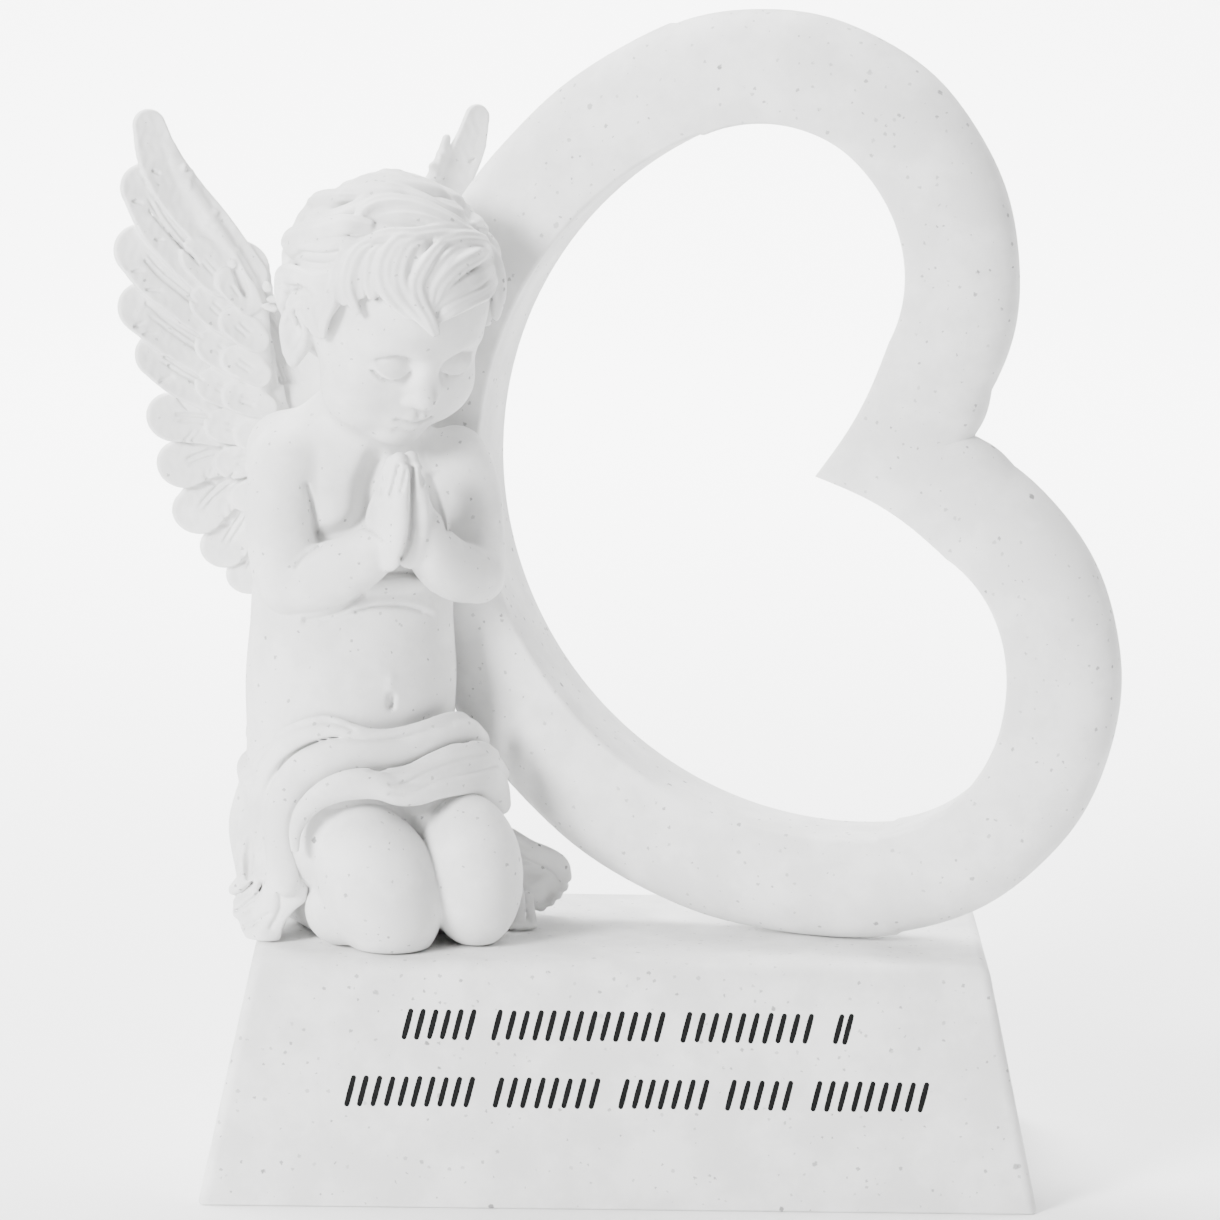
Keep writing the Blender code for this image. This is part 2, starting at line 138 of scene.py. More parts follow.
class Clay:
    """A lump of clay worked by strokes, kept as a distance to its skin, in millimetres."""

    def __init__(self, name: str, voxel: float) -> None:
        """Start with no clay.

        Args:
            name: Name of the piece that the clay becomes.
            voxel: Size of the smallest detail, in mm.
        """
        self.name = name
        self.voxel = voxel * 1.0
        self.strokes: list[Stroke] = []

    def form(self, low: Sequence[float], high: Sequence[float], distance: Distance, act: Act,
             blend: float, depth: float = 0.0) -> None:
        """Lay, carve or score any form, with room round it for its blend.

        Args:
            low: Lowest corner of the form's box.
            high: Highest corner of that box.
            distance: Takes grid places to their distances from the form's skin.
            act: What the form does to the clay.
            blend: Width of the fillet, or reach of a scored line.
            depth: Depth of a scored line.
        """
        room = blend + ROOM * self.voxel
        self.strokes.append(Stroke(np.asarray(low, float) - room, np.asarray(high, float) + room,
                                   distance, act, blend, depth))

    def ball(self, centre: Sequence[float], semi: Sequence[float], blend: float = 1.0,
             axes: Array | None = None, act: Act = Act.ADD) -> None:
        """Lay on or carve out an ellipsoid.

        Args:
            centre: Its middle.
            semi: Its three half sizes.
            blend: Width of the fillet where it meets the clay.
            axes: Rows of its own three directions, or None for upright.
            act: Whether it is added or carved.
        """
        c = np.asarray(centre, float)
        s = np.asarray(semi, float)
        turn = np.eye(3) if axes is None else np.asarray(axes, float)
        reach = np.sqrt(((turn * s[:, None]) ** 2).sum(0))

        def distance(x: Array, y: Array, z: Array) -> Array:
            """Measure the block of the grid against the ellipsoid.

            Args:
                x: Places along x.
                y: Places along y.
                z: Places along z.

            Returns:
                The distances to the ellipsoid's skin.
            """
            near = np.float32(0.0)
            slope = np.float32(0.0)
            for row, size in zip(turn, s):
                along = (x - c[0]) * row[0] + (y - c[1]) * row[1] + (z - c[2]) * row[2]
                along = (along / size).astype(np.float32)
                near = near + along * along
                slope = slope + (along / np.float32(size)) ** 2
            near = np.sqrt(near)
            return near * (near - 1.0) / (np.sqrt(slope) + SOFT_ZERO)

        self.form(c - reach, c + reach, distance, act, blend)

    def rope(self, points: Sequence[Sequence[float]], radii: Sequence[float], blend: float = 1.0,
             flat: Array | None = None, squash: float = 1.0, strands: float = 0.0,
             groove: float = 0.0, act: Act = Act.ADD, depth: float = 0.0,
             steps: int = 6) -> None:
        """Lay a tapering rope along a soft curve.

        Args:
            points: Places that the curve passes through.
            radii: Radius at each of those places.
            blend: Width of the fillet, or reach of a scored line.
            flat: One direction a point in which the rope is thinner, or None for a round rope.
            squash: Thickness in that direction over the width.
            strands: Number of strands that grooves part the rope into.
            groove: Depth of those grooves.
            act: Whether the rope is added, carved or scored.
            depth: Depth of a scored line.
            steps: Stretches between two places.
        """
        rows = np.column_stack([np.asarray(points, float), radii])
        if flat is not None:
            rows = np.column_stack([rows, np.asarray(flat, float)])
        rows = smooth_course(rows, steps)
        nodes, sizes = rows[:, :3], np.maximum(rows[:, 3], 0.05)
        normals = rows[:, 4:7] if flat is not None else None
        margin = blend + ROOM * self.voxel

        def distance(x: Array, y: Array, z: Array) -> Array:
            """Measure the block of the grid against the rope, stretch by stretch.

            Args:
                x: Places along x.
                y: Places along y.
                z: Places along z.

            Returns:
                The distances to the rope's skin.
            """
            out = np.full((x.size, y.size, z.size), FAR, np.float32)
            axes = (x.ravel(), y.ravel(), z.ravel())
            for i in range(len(nodes) - 1):
                a, b = nodes[i], nodes[i + 1]
                reach = max(sizes[i], sizes[i + 1]) + margin
                cuts = grid_part(axes, np.minimum(a, b) - reach, np.maximum(a, b) + reach)
                if cuts is None:
                    continue
                px, py, pz = x[cuts[0]] - a[0], y[:, cuts[1]] - a[1], z[:, :, cuts[2]] - a[2]
                run = b - a
                t = (px * run[0] + py * run[1] + pz * run[2]) / max(float(run @ run), TINY)
                t = np.clip(t, 0.0, 1.0).astype(np.float32)
                ox, oy, oz = px - t * run[0], py - t * run[1], pz - t * run[2]
                size = sizes[i] + t * (sizes[i + 1] - sizes[i])
                square = ox * ox + oy * oy + oz * oz
                if normals is None:
                    gap = np.sqrt(square) - size
                else:
                    n = unit(normals[i] + normals[i + 1])
                    lift = ox * n[0] + oy * n[1] + oz * n[2]
                    near = np.sqrt(square + lift * lift * (squash ** -2 - 1.0)) + SOFT_ZERO
                    slope = np.sqrt(square + lift * lift * (squash ** -4 - 1.0)) + SOFT_ZERO
                    gap = (near - size) * near / slope
                    if strands:
                        side = unit(np.cross(run, n))
                        across = (ox * side[0] + oy * side[1] + oz * side[2]) / size
                        gap = gap + groove * (0.5 + 0.5 * np.cos(across * math.pi * strands)) \
                            * np.clip(size / sizes.max(), 0.0, 1.0)
                view = out[cuts]
                np.minimum(view, gap, out=view)
            return out

        reach = float(sizes.max())
        self.form(nodes.min(0) - reach, nodes.max(0) + reach, distance, act, blend, depth)

    def score(self, points: Sequence[Sequence[float]], width: float, depth: float,
              steps: int = 6) -> None:
        """Press a soft groove into the skin along a curve, or raise one where depth is negative."""
        self.rope(points, [0.0] * len(points), blend=SPREAD * width, act=Act.SCORE, depth=depth,
                  steps=steps)

    def trace(self, points: Sequence[Sequence[float]], width: float, depth: float,
              through: Sequence[float], reach: float = 12.0) -> None:
        """Press a groove under a curve, wherever the skin lies along a direction from it.

        Args:
            points: Places along the curve.
            width: Width of the groove.
            depth: Depth of the groove, or less than zero for a raised line.
            through: The direction in which the curve is moved on to the skin.
            reach: How far off the curve the skin may lie.
        """
        nodes = smooth_course(points, 5)
        n = unit(through)

        def distance(x: Array, y: Array, z: Array) -> Array:
            """Measure the block of the grid against the sheet that the curve sweeps.

            Args:
                x: Places along x.
                y: Places along y.
                z: Places along z.

            Returns:
                The distances to the sheet.
            """
            out = np.full((x.size, y.size, z.size), FAR, np.float32)
            for a, b in zip(nodes, nodes[1:]):
                run = b - a
                level = run - n * float(run @ n)
                px, py, pz = x - a[0], y - a[1], z - a[2]
                lift = px * n[0] + py * n[1] + pz * n[2]
                qx, qy, qz = px - lift * n[0], py - lift * n[1], pz - lift * n[2]
                t = qx * level[0] + qy * level[1] + qz * level[2]
                t = np.clip(t / max(float(level @ level), TINY), 0.0, 1.0)
                over = np.maximum(np.abs(lift - t * float(run @ n)) - reach, 0.0)
                gap = np.sqrt((qx - t * level[0]) ** 2 + (qy - t * level[1]) ** 2
                              + (qz - t * level[2]) ** 2 + over ** 2)
                np.minimum(out, gap, out=out)
            return out

        room = np.abs(n) * reach + 0.5
        self.form(nodes.min(0) - room, nodes.max(0) + room, distance, Act.SCORE, SPREAD * width,
                  depth)

    def draw(self, line: Sequence[Sequence[float]], width: float, depth: float,
             reach: float = 12.0) -> None:
        """Press a groove under a line of places across and up, as seen from the front."""
        self.trace([(x, FRONT, z) for x, z in line], width, depth, SIGHT, reach=reach)

    def _work(self, x: Array, y: Array, z: Array) -> Array:
        """Work every stroke, in order, over one block of the grid.

        Args:
            x: Places along x.
            y: Places along y.
            z: Places along z.

        Returns:
            The clay's distances over the block.
        """
        clay = np.full((x.size, y.size, z.size), FAR, np.float32)
        axes = (x.ravel(), y.ravel(), z.ravel())
        for stroke in self.strokes:
            cuts = grid_part(axes, stroke.low, stroke.high)
            if cuts is None:
                continue
            gap = stroke.distance(x[cuts[0]], y[:, cuts[1]], z[:, :, cuts[2]])
            view = clay[cuts]
            k = max(stroke.blend, 1e-3)
            if stroke.act is Act.ADD:
                near = np.maximum(k - np.abs(view - gap), 0.0) / k
                view[...] = np.minimum(view, gap) - near * near * (k * 0.25)
            elif stroke.act is Act.CARVE:
                near = np.maximum(k - np.abs(view + gap), 0.0) / k
                view[...] = np.maximum(view, -gap) + near * near * (k * 0.25)
            else:
                view[...] = view + stroke.depth * np.exp(-(gap / (k / SPREAD)) ** 2)
        return clay

    def mesh(self, place: Callable[[Array], Array] | None = None,
             limit: int = MOST_TRIANGLES) -> bpy.types.Object:
        """Turn the clay into a mesh object.

        Args:
            place: Takes the skin's points in mm to their places in mm, or None to leave them.
            limit: Most triangles that the mesh may have.

        Returns:
            The new object, linked to the scene.
        """
        adds = [s for s in self.strokes if s.act is Act.ADD]
        low = np.min([s.low for s in adds], 0) - 2 * self.voxel
        high = np.max([s.high for s in adds], 0) + 2 * self.voxel
        count = np.ceil((high - low) / self.voxel).astype(int) + 1
        axes = [(low[i] + np.arange(count[i]) * self.voxel).astype(np.float32) for i in range(3)]
        starts = [(i, j, k) for i in range(0, count[0], BLOCK) for j in range(0, count[1], BLOCK)
                  for k in range(0, count[2], BLOCK)]
        distances = np.empty(tuple(count), np.float32)

        def fill(start: tuple[int, int, int]) -> None:
            """Work one block of the grid."""
            cut = tuple(slice(s, min(s + BLOCK, n)) for s, n in zip(start, count))
            distances[cut] = self._work(*np.ix_(*(line[c] for line, c in zip(axes, cut))))

        with ThreadPoolExecutor(WORKERS) as pool:
            list(pool.map(fill, starts))
        grid = openvdb.FloatGrid(FAR)
        grid.copyFromArray(np.clip(distances, -FAR, FAR))
        points, triangles, quads = grid.convertToPolygons(isovalue=0.0, adaptivity=0.0)
        points = low + points * self.voxel
        if place is not None:
            points = place(points)
        return skin(self.name, points, triangles, quads, limit)


def new_object(name: str, data: bpy.types.ID) -> bpy.types.Object:
    """Link a new object to the scene and return it."""
    obj = bpy.data.objects.new(name, data)
    bpy.context.scene.collection.objects.link(obj)
    return obj


def solid_object(name: str, bm: bmesh.types.BMesh) -> bpy.types.Object:
    """Turn finished faces into an object of the scene.

    Args:
        name: Name of the object and of its mesh.
        bm: The faces, which are freed.

    Returns:
        The new object.
    """
    mesh = bpy.data.meshes.new(name)
    bm.to_mesh(mesh)
    bm.free()
    return new_object(name, mesh)


def skin(name: str, points: Array, triangles: Array, quads: Array,
         limit: int) -> bpy.types.Object:
    """Make a smooth mesh object from faces, with outward normals and at most so many triangles.

    Args:
        name: Name of the object.
        points: Vertices in mm.
        triangles: Three corners a row.
        quads: Four corners a row.
        limit: Most triangles to keep.

    Returns:
        The new object, linked to the scene.
    """
    mesh = bpy.data.meshes.new(name)
    mesh.vertices.add(len(points))
    mesh.vertices.foreach_set("co", (points * MM).astype(np.float32).ravel())
    a, b, c = (points[quads[:, i]] for i in range(3))
    volume = np.einsum("ij,ij->i", a, np.cross(b, c)).sum() if len(quads) else 1.0
    order = slice(None) if volume > 0 else slice(None, None, -1)
    corners = np.concatenate([quads[:, order].ravel(), triangles[:, order].ravel()])
    starts = np.concatenate([np.arange(len(quads)) * 4,
                             len(quads) * 4 + np.arange(len(triangles)) * 3])
    mesh.loops.add(len(corners))
    mesh.loops.foreach_set("vertex_index", corners.astype(np.int32))
    mesh.polygons.add(len(starts))
    mesh.polygons.foreach_set("loop_start", starts.astype(np.int32))
    mesh.update(calc_edges=True)
    mesh.validate()
    obj = new_object(name, mesh)
    total = 2 * len(quads) + len(triangles)
    if total > limit:
        shrink = obj.modifiers.new("Lighten", "DECIMATE")
        shrink.ratio = limit / total
        shrink.use_collapse_triangulate = True
        apply_modifiers(obj)
    obj.data.shade_smooth()
    return obj


def apply_modifiers(obj: bpy.types.Object) -> None:
    """Bake an object's modifiers into its mesh.

    Args:
        obj: The object, which keeps no modifier.
    """
    bpy.context.view_layer.update()
    graph = bpy.context.evaluated_depsgraph_get()
    baked = bpy.data.meshes.new_from_object(obj.evaluated_get(graph))
    obj.modifiers.clear()
    obj.data = baked


# ------------------------------------------------------------------------------ frames


@dataclass(frozen=True)
class BodyFrame:
    """Directions of the cherub's body: lateral to the viewer's right, forward, and height."""

    origin: tuple[float, float] = (-45.0, -2.0)
    turn: float = math.radians(22.0)
    middle: tuple[float, float] = (1.0, 1.0)

    def at(self, lateral: float, forward: float, height: float) -> Array:
        """Place a point given in the body's own directions.

        Args:
            lateral: Distance to the viewer's right.
            forward: Distance out of the chest.
            height: Height above the underside of the base.

        Returns:
            The place in mm.
        """
        c, s = math.cos(self.turn), math.sin(self.turn)
        return np.array([self.origin[0] + lateral * c + forward * s,
                         self.origin[1] + lateral * s - forward * c, height])

    def axes(self) -> Array:
        """Return the body's lateral, forward and upward directions as rows."""
        c, s = math.cos(self.turn), math.sin(self.turn)
        return np.array([[c, s, 0.0], [s, -c, 0.0], [0.0, 0.0, 1.0]])

    def around(self, angle: float, height: float, wide: float, deep: float) -> Array:
        """Place a point of an upright oval about the body's middle.

        Args:
            angle: Degrees round from the front towards the viewer's right.
            height: Height above the underside of the base.
            wide: Half breadth of the oval.
            deep: Half depth of the oval.

        Returns:
            The place in mm.
        """
        a = math.radians(angle)
        return self.at(self.middle[0] + wide * math.sin(a), self.middle[1] + deep * math.cos(a),
                       height)


@dataclass(frozen=True)
class HeadFrame:
    """Directions of the bowed head: lateral to the viewer's right, forward, and upward."""

    centre: tuple[float, float, float] = (-38.8, -11.0, 148.6)
    turn: float = math.radians(32.0)
    bow: float = math.radians(26.0)

    def axes(self) -> Array:
        """Work out the head's own directions.

        Returns:
            Its lateral, forward and upward directions as rows.
        """
        lateral = np.array([math.cos(self.turn), math.sin(self.turn), 0.0])
        level = np.array([math.sin(self.turn), -math.cos(self.turn), 0.0])
        up = np.array([0.0, 0.0, 1.0])
        return np.array([lateral, level * math.cos(self.bow) - up * math.sin(self.bow),
                         level * math.sin(self.bow) + up * math.cos(self.bow)])

    def at(self, lateral: float, forward: float, upward: float) -> Array:
        """Return the place of a point given in the head's own directions."""
        return np.array(self.centre) + np.array([lateral, forward, upward]) @ self.axes()


BODY = BodyFrame()
HEAD = HeadFrame()


# ------------------------------------------------------------------------------ finishes


def new_group(name: str, inputs: dict[str, tuple[str, float]],
              outputs: dict[str, str]) -> tuple[bpy.types.NodeTree, dict[str, bpy.types.Node]]:
    """Start a shader node group with named sockets.

    Args:
        name: Name of the group.
        inputs: Socket type and default of each input.
        outputs: Socket type of each output.

    Returns:
        The group, and its input and output nodes.
    """
    group = bpy.data.node_groups.new(name, "ShaderNodeTree")
    for label, (kind, value) in inputs.items():
        socket = group.interface.new_socket(label, in_out="INPUT", socket_type=kind)
        if kind == "NodeSocketFloat":
            socket.default_value = value
    for label, kind in outputs.items():
        group.interface.new_socket(label, in_out="OUTPUT", socket_type=kind)
    return group, {"in": group.nodes.new("NodeGroupInput"),
                   "out": group.nodes.new("NodeGroupOutput")}


class NodeBench:
    """Lays out the nodes of one tree."""

    def __init__(self, tree: bpy.types.NodeTree) -> None:
        """Work on a tree."""
        self.tree = tree

    def add(self, kind: str, inputs: dict[str | int, object] | None = None,
            **settings: object) -> bpy.types.Node:
        """Add a node, set its options, and feed its inputs.

        Args:
            kind: Type of the node.
            inputs: Value, or output socket, for each input by name or number.
            settings: Options of the node.

        Returns:
            The new node.
        """
        node = self.tree.nodes.new(kind)
        for key, value in settings.items():
            setattr(node, key, value)
        for key, value in (inputs or {}).items():
            if isinstance(value, bpy.types.NodeSocket):
                self.tree.links.new(value, node.inputs[key])
            else:
                node.inputs[key].default_value = value
        return node

    def maths(self, operation: str, *values: object) -> bpy.types.NodeSocket:
        """Add a Math node and return its output."""
        node = self.add("ShaderNodeMath", dict(enumerate(values)), operation=operation)
        return node.outputs[0]

    def ramp(self, value: bpy.types.NodeSocket, low: float, high: float, start: float = 0.0,
             end: float = 1.0) -> bpy.types.NodeSocket:
        """Add a smooth Map Range node from (low, high) to (start, end) and return its output."""
        node = self.add("ShaderNodeMapRange", {0: value, 1: low, 2: high, 3: start, 4: end},
                        interpolation_type="SMOOTHSTEP", clamp=True)
        return node.outputs[0]

    def blend(self, factor: object, first: object, second: object) -> bpy.types.NodeSocket:
        """Add a colour Mix node and return its output."""
        node = self.add("ShaderNodeMix", {0: factor, 6: first, 7: second}, data_type="RGBA")
        return node.outputs[2]


def millimetres_group() -> bpy.types.NodeTree:
    """Build the group that gives a place on the object in millimetres.

    Returns:
        The group.
    """
    group, ends = new_group("Place in mm", {}, {"Place": "NodeSocketVector"})
    bench = NodeBench(group)
    place = bench.add("ShaderNodeTexCoord").outputs["Object"]
    scaled = bench.add("ShaderNodeVectorMath", {0: place, 3: 1.0 / MM}, operation="SCALE")
    group.links.new(scaled.outputs[0], ends["out"].inputs["Place"])
    return group


def speck_group() -> bpy.types.NodeTree:
    """Build the group that scatters small ragged grains through the casting.

    Returns:
        The group.
    """
    group, ends = new_group("Stone specks", {
        "Place": ("NodeSocketVector", 0.0), "Spacing": ("NodeSocketFloat", 3.0),
        "Share": ("NodeSocketFloat", 0.4), "Size": ("NodeSocketFloat", 0.3)},
        {"Mask": "NodeSocketFloat", "Tone": "NodeSocketFloat"})
    bench, source = NodeBench(group), ends["in"].outputs
    ragged = bench.add("ShaderNodeTexNoise", {"Vector": source["Place"], "Scale": 2.6,
                                              "Detail": 1.0})
    push = bench.add("ShaderNodeVectorMath", {0: ragged.outputs["Color"], 1: (0.5, 0.5, 0.5)},
                     operation="SUBTRACT")
    push = bench.add("ShaderNodeVectorMath", {0: push.outputs[0], 3: 0.55}, operation="SCALE")
    moved = bench.add("ShaderNodeVectorMath", {0: source["Place"], 1: push.outputs[0]},
                      operation="ADD")
    scale = bench.maths("DIVIDE", 1.0, source["Spacing"])
    cells = bench.add("ShaderNodeTexVoronoi", {"Vector": moved.outputs[0], "Scale": scale})
    chance = bench.add("ShaderNodeSeparateColor", {0: cells.outputs["Color"]})
    away = bench.maths("MULTIPLY", cells.outputs["Distance"], source["Spacing"])
    grow = bench.maths("MULTIPLY_ADD", chance.outputs["Green"], 0.9, 0.35)
    radius = bench.maths("MULTIPLY", grow, source["Size"])
    inside = bench.maths("DIVIDE", away, radius)
    dot = bench.ramp(inside, 0.7, 1.15, 1.0, 0.0)
    kept = bench.maths("LESS_THAN", chance.outputs["Red"], source["Share"])
    mask = bench.maths("MULTIPLY", dot, kept)
    group.links.new(mask, ends["out"].inputs["Mask"])
    group.links.new(chance.outputs["Blue"], ends["out"].inputs["Tone"])
    return group


def mottle_group() -> bpy.types.NodeTree:
    """Build the group that gives the cloudiness of the cast, its fine grain and its pits.

    Returns:
        The group.
    """
    group, ends = new_group("Cast mottle", {"Place": ("NodeSocketVector", 0.0)},
                            {"Cloud": "NodeSocketFloat", "Grain": "NodeSocketFloat",
                             "Pits": "NodeSocketFloat"})
    bench, source = NodeBench(group), ends["in"].outputs
    cloud = bench.add("ShaderNodeTexNoise", {"Vector": source["Place"], "Scale": 0.09,
                                             "Detail": 4.0, "Roughness": 0.6})
    grain = bench.add("ShaderNodeTexNoise", {"Vector": source["Place"], "Scale": 1.5,
                                             "Detail": 4.0, "Roughness": 0.65})
    cells = bench.add("ShaderNodeTexVoronoi", {"Vector": source["Place"], "Scale": 0.5})
    chance = bench.add("ShaderNodeSeparateColor", {0: cells.outputs["Color"]})
    dot = bench.ramp(cells.outputs["Distance"], 0.05, 0.11, 1.0, 0.0)
    kept = bench.maths("LESS_THAN", chance.outputs["Red"], 0.22)
    group.links.new(cloud.outputs[0], ends["out"].inputs["Cloud"])
    group.links.new(grain.outputs[0], ends["out"].inputs["Grain"])
    group.links.new(bench.maths("MULTIPLY", dot, kept), ends["out"].inputs["Pits"])
    return group


class Groups:
    """The node groups that the finishes share, each built once."""

    def __init__(self) -> None:
        """Build every group."""
        self.place = millimetres_group()
        self.specks = speck_group()
        self.mottle = mottle_group()


class FinishBench(NodeBench):
    """The nodes of one finish, begun from the cloudiness and grain of the cast."""

    grain_range = (0.3, 0.7)

    def __init__(self, name: str, groups: Groups, specular: float) -> None:
        """Start a material.

        Args:
            name: Name of the material.
            groups: The shared node groups.
            specular: Strength of its gloss.
        """
        self.material = bpy.data.materials.new(name)
        self.material.use_nodes = True
        super().__init__(self.material.node_tree)
        self.shader = self.tree.nodes["Principled BSDF"]
        self.shader.inputs["Specular IOR Level"].default_value = specular
        self.place = self.add("ShaderNodeGroup", node_tree=groups.place).outputs["Place"]
        self.mottle = self.add("ShaderNodeGroup", {"Place": self.place},
                               node_tree=groups.mottle).outputs

    def finish(self, colour: bpy.types.NodeSocket, roughness: tuple[float, float],
               height: bpy.types.NodeSocket, strength: float,
               bump: float) -> bpy.types.Material:
        """Wire up the shader.

        Args:
            colour: The finish's colour.
            roughness: Roughness in the low and the high grain.
            height: The relief that the bump follows.
            strength: Strength of the bump.
            bump: Height of the bump in mm.

        Returns:
            The material.
        """
        rough = self.ramp(self.mottle["Grain"], *self.grain_range, *roughness)
        relief = self.add("ShaderNodeBump", {"Strength": strength, "Distance": bump * MM,
                                             "Height": height})
        for socket, value in (("Base Color", colour), ("Roughness", rough),
                              ("Normal", relief.outputs[0])):
            self.tree.links.new(value, self.shader.inputs[socket])
        return self.material


@dataclass(frozen=True)
class CastStone:
    """White cast stone powder and resin, with sparse grey grains.

    The scatters' rows are the spacing of the grains in mm, their size against the finest ones,
    and how strongly they show.
    """

    name: str
    speck_share: float = 0.75
    speck_size: float = 0.30
    speck_tones: tuple[float, float] = (0.10, 0.42)
    scatters: tuple[tuple[float, float, float], ...] = ((1.75, 1.0, 0.6), (5.3, 1.5, 0.75))
    colour: tuple[float, float, float] = (0.80, 0.80, 0.795)
    shade: tuple[float, float, float] = (0.69, 0.69, 0.685)
    clouds: tuple[float, float] = (0.38, 0.66)
    specular: float = 0.35
    glow: float = 0.06
    glow_reach: tuple[float, float, float] = (0.9, 0.85, 0.8)
    roughness: tuple[float, float] = (0.56, 0.70)
    strength: float = 0.5
    bump: float = 0.05
    pit_depth: float = 1.6

    def build(self, groups: Groups) -> bpy.types.Material:
        """Make the material.

        Args:
            groups: The shared node groups.

        Returns:
            The material.
        """
        bench = FinishBench(self.name, groups, self.specular)
        for label, value in (("Weight", self.glow), ("Radius", self.glow_reach),
                             ("Scale", MM)):
            bench.shader.inputs["Subsurface " + label].default_value = value
        cloud = bench.ramp(bench.mottle["Cloud"], *self.clouds)
        colour = bench.blend(cloud, (*self.shade, 1.0), (*self.colour, 1.0))
        for spacing, growth, weight in self.scatters:
            specks = bench.add("ShaderNodeGroup", {
                "Place": bench.place, "Spacing": spacing, "Share": self.speck_share,
                "Size": self.speck_size * growth}, node_tree=groups.specks).outputs
            tone = bench.ramp(specks["Tone"], 0.0, 1.0, *self.speck_tones)
            grey = bench.add("ShaderNodeCombineColor", {0: tone, 1: tone, 2: tone}).outputs[0]
            mask = bench.maths("MULTIPLY", specks["Mask"], weight)
            colour = bench.blend(mask, colour, grey)
        pits = bench.maths("MULTIPLY", bench.mottle["Pits"], -self.pit_depth)
        height = bench.maths("ADD", bench.mottle["Grain"], pits)
        return bench.finish(colour, self.roughness, height, self.strength, self.bump)


@dataclass(frozen=True)
class InscriptionPaint:
    """Matt black paint brushed into the cut strokes, a little worn in the high grain."""

    name: str = "inscription_black"
    colour: tuple[float, float, float] = (0.004, 0.004, 0.004)
    worn_colour: tuple[float, float, float] = (0.02, 0.02, 0.02)
    worn_grain: tuple[float, float] = (0.52, 0.75)
    worn_share: float = 0.35
    specular: float = 0.12
    roughness: tuple[float, float] = (0.45, 0.70)
    strength: float = 0.6
    bump: float = 0.08

    def build(self, groups: Groups) -> bpy.types.Material:
        """Make the material.

        Args:
            groups: The shared node groups.

        Returns:
            The material.
        """
        bench = FinishBench(self.name, groups, self.specular)
        grain = bench.mottle["Grain"]
        worn = bench.ramp(grain, *self.worn_grain, 0.0, self.worn_share)
        colour = bench.blend(worn, (*self.colour, 1.0), (*self.worn_colour, 1.0))
        return bench.finish(colour, self.roughness, grain, self.strength, self.bump)


@dataclass(frozen=True)
class StudioPaper:
    """Plain pale paper under and behind the object."""

    name: str = "studio_paper"
    colour: tuple[float, float, float] = (0.93, 0.93, 0.93)
    roughness: float = 0.9

    def build(self) -> bpy.types.Material:
        """Make the material.

        Returns:
            The material.
        """
        material = bpy.data.materials.new(self.name)
        material.use_nodes = True
        shader = material.node_tree.nodes["Principled BSDF"]
        shader.inputs["Base Color"].default_value = (*self.colour, 1.0)
        shader.inputs["Roughness"].default_value = self.roughness
        return material


def place_piece(piece: bpy.types.Object, finish: bpy.types.Material,
                nodes: Sequence[str] = ()) -> None:
    """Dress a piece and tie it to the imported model.

    Args:
        piece: The new object.
        finish: Its material.
        nodes: CAD nodes that it stands for.
    """
    piece.data.materials.clear()
    piece.data.materials.append(finish)
    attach(piece, "root")
    if nodes:
        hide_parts(*nodes)
    LOG.info("%s: %d faces", piece.name, len(piece.data.polygons))


# ------------------------------------------------------------------------------ base


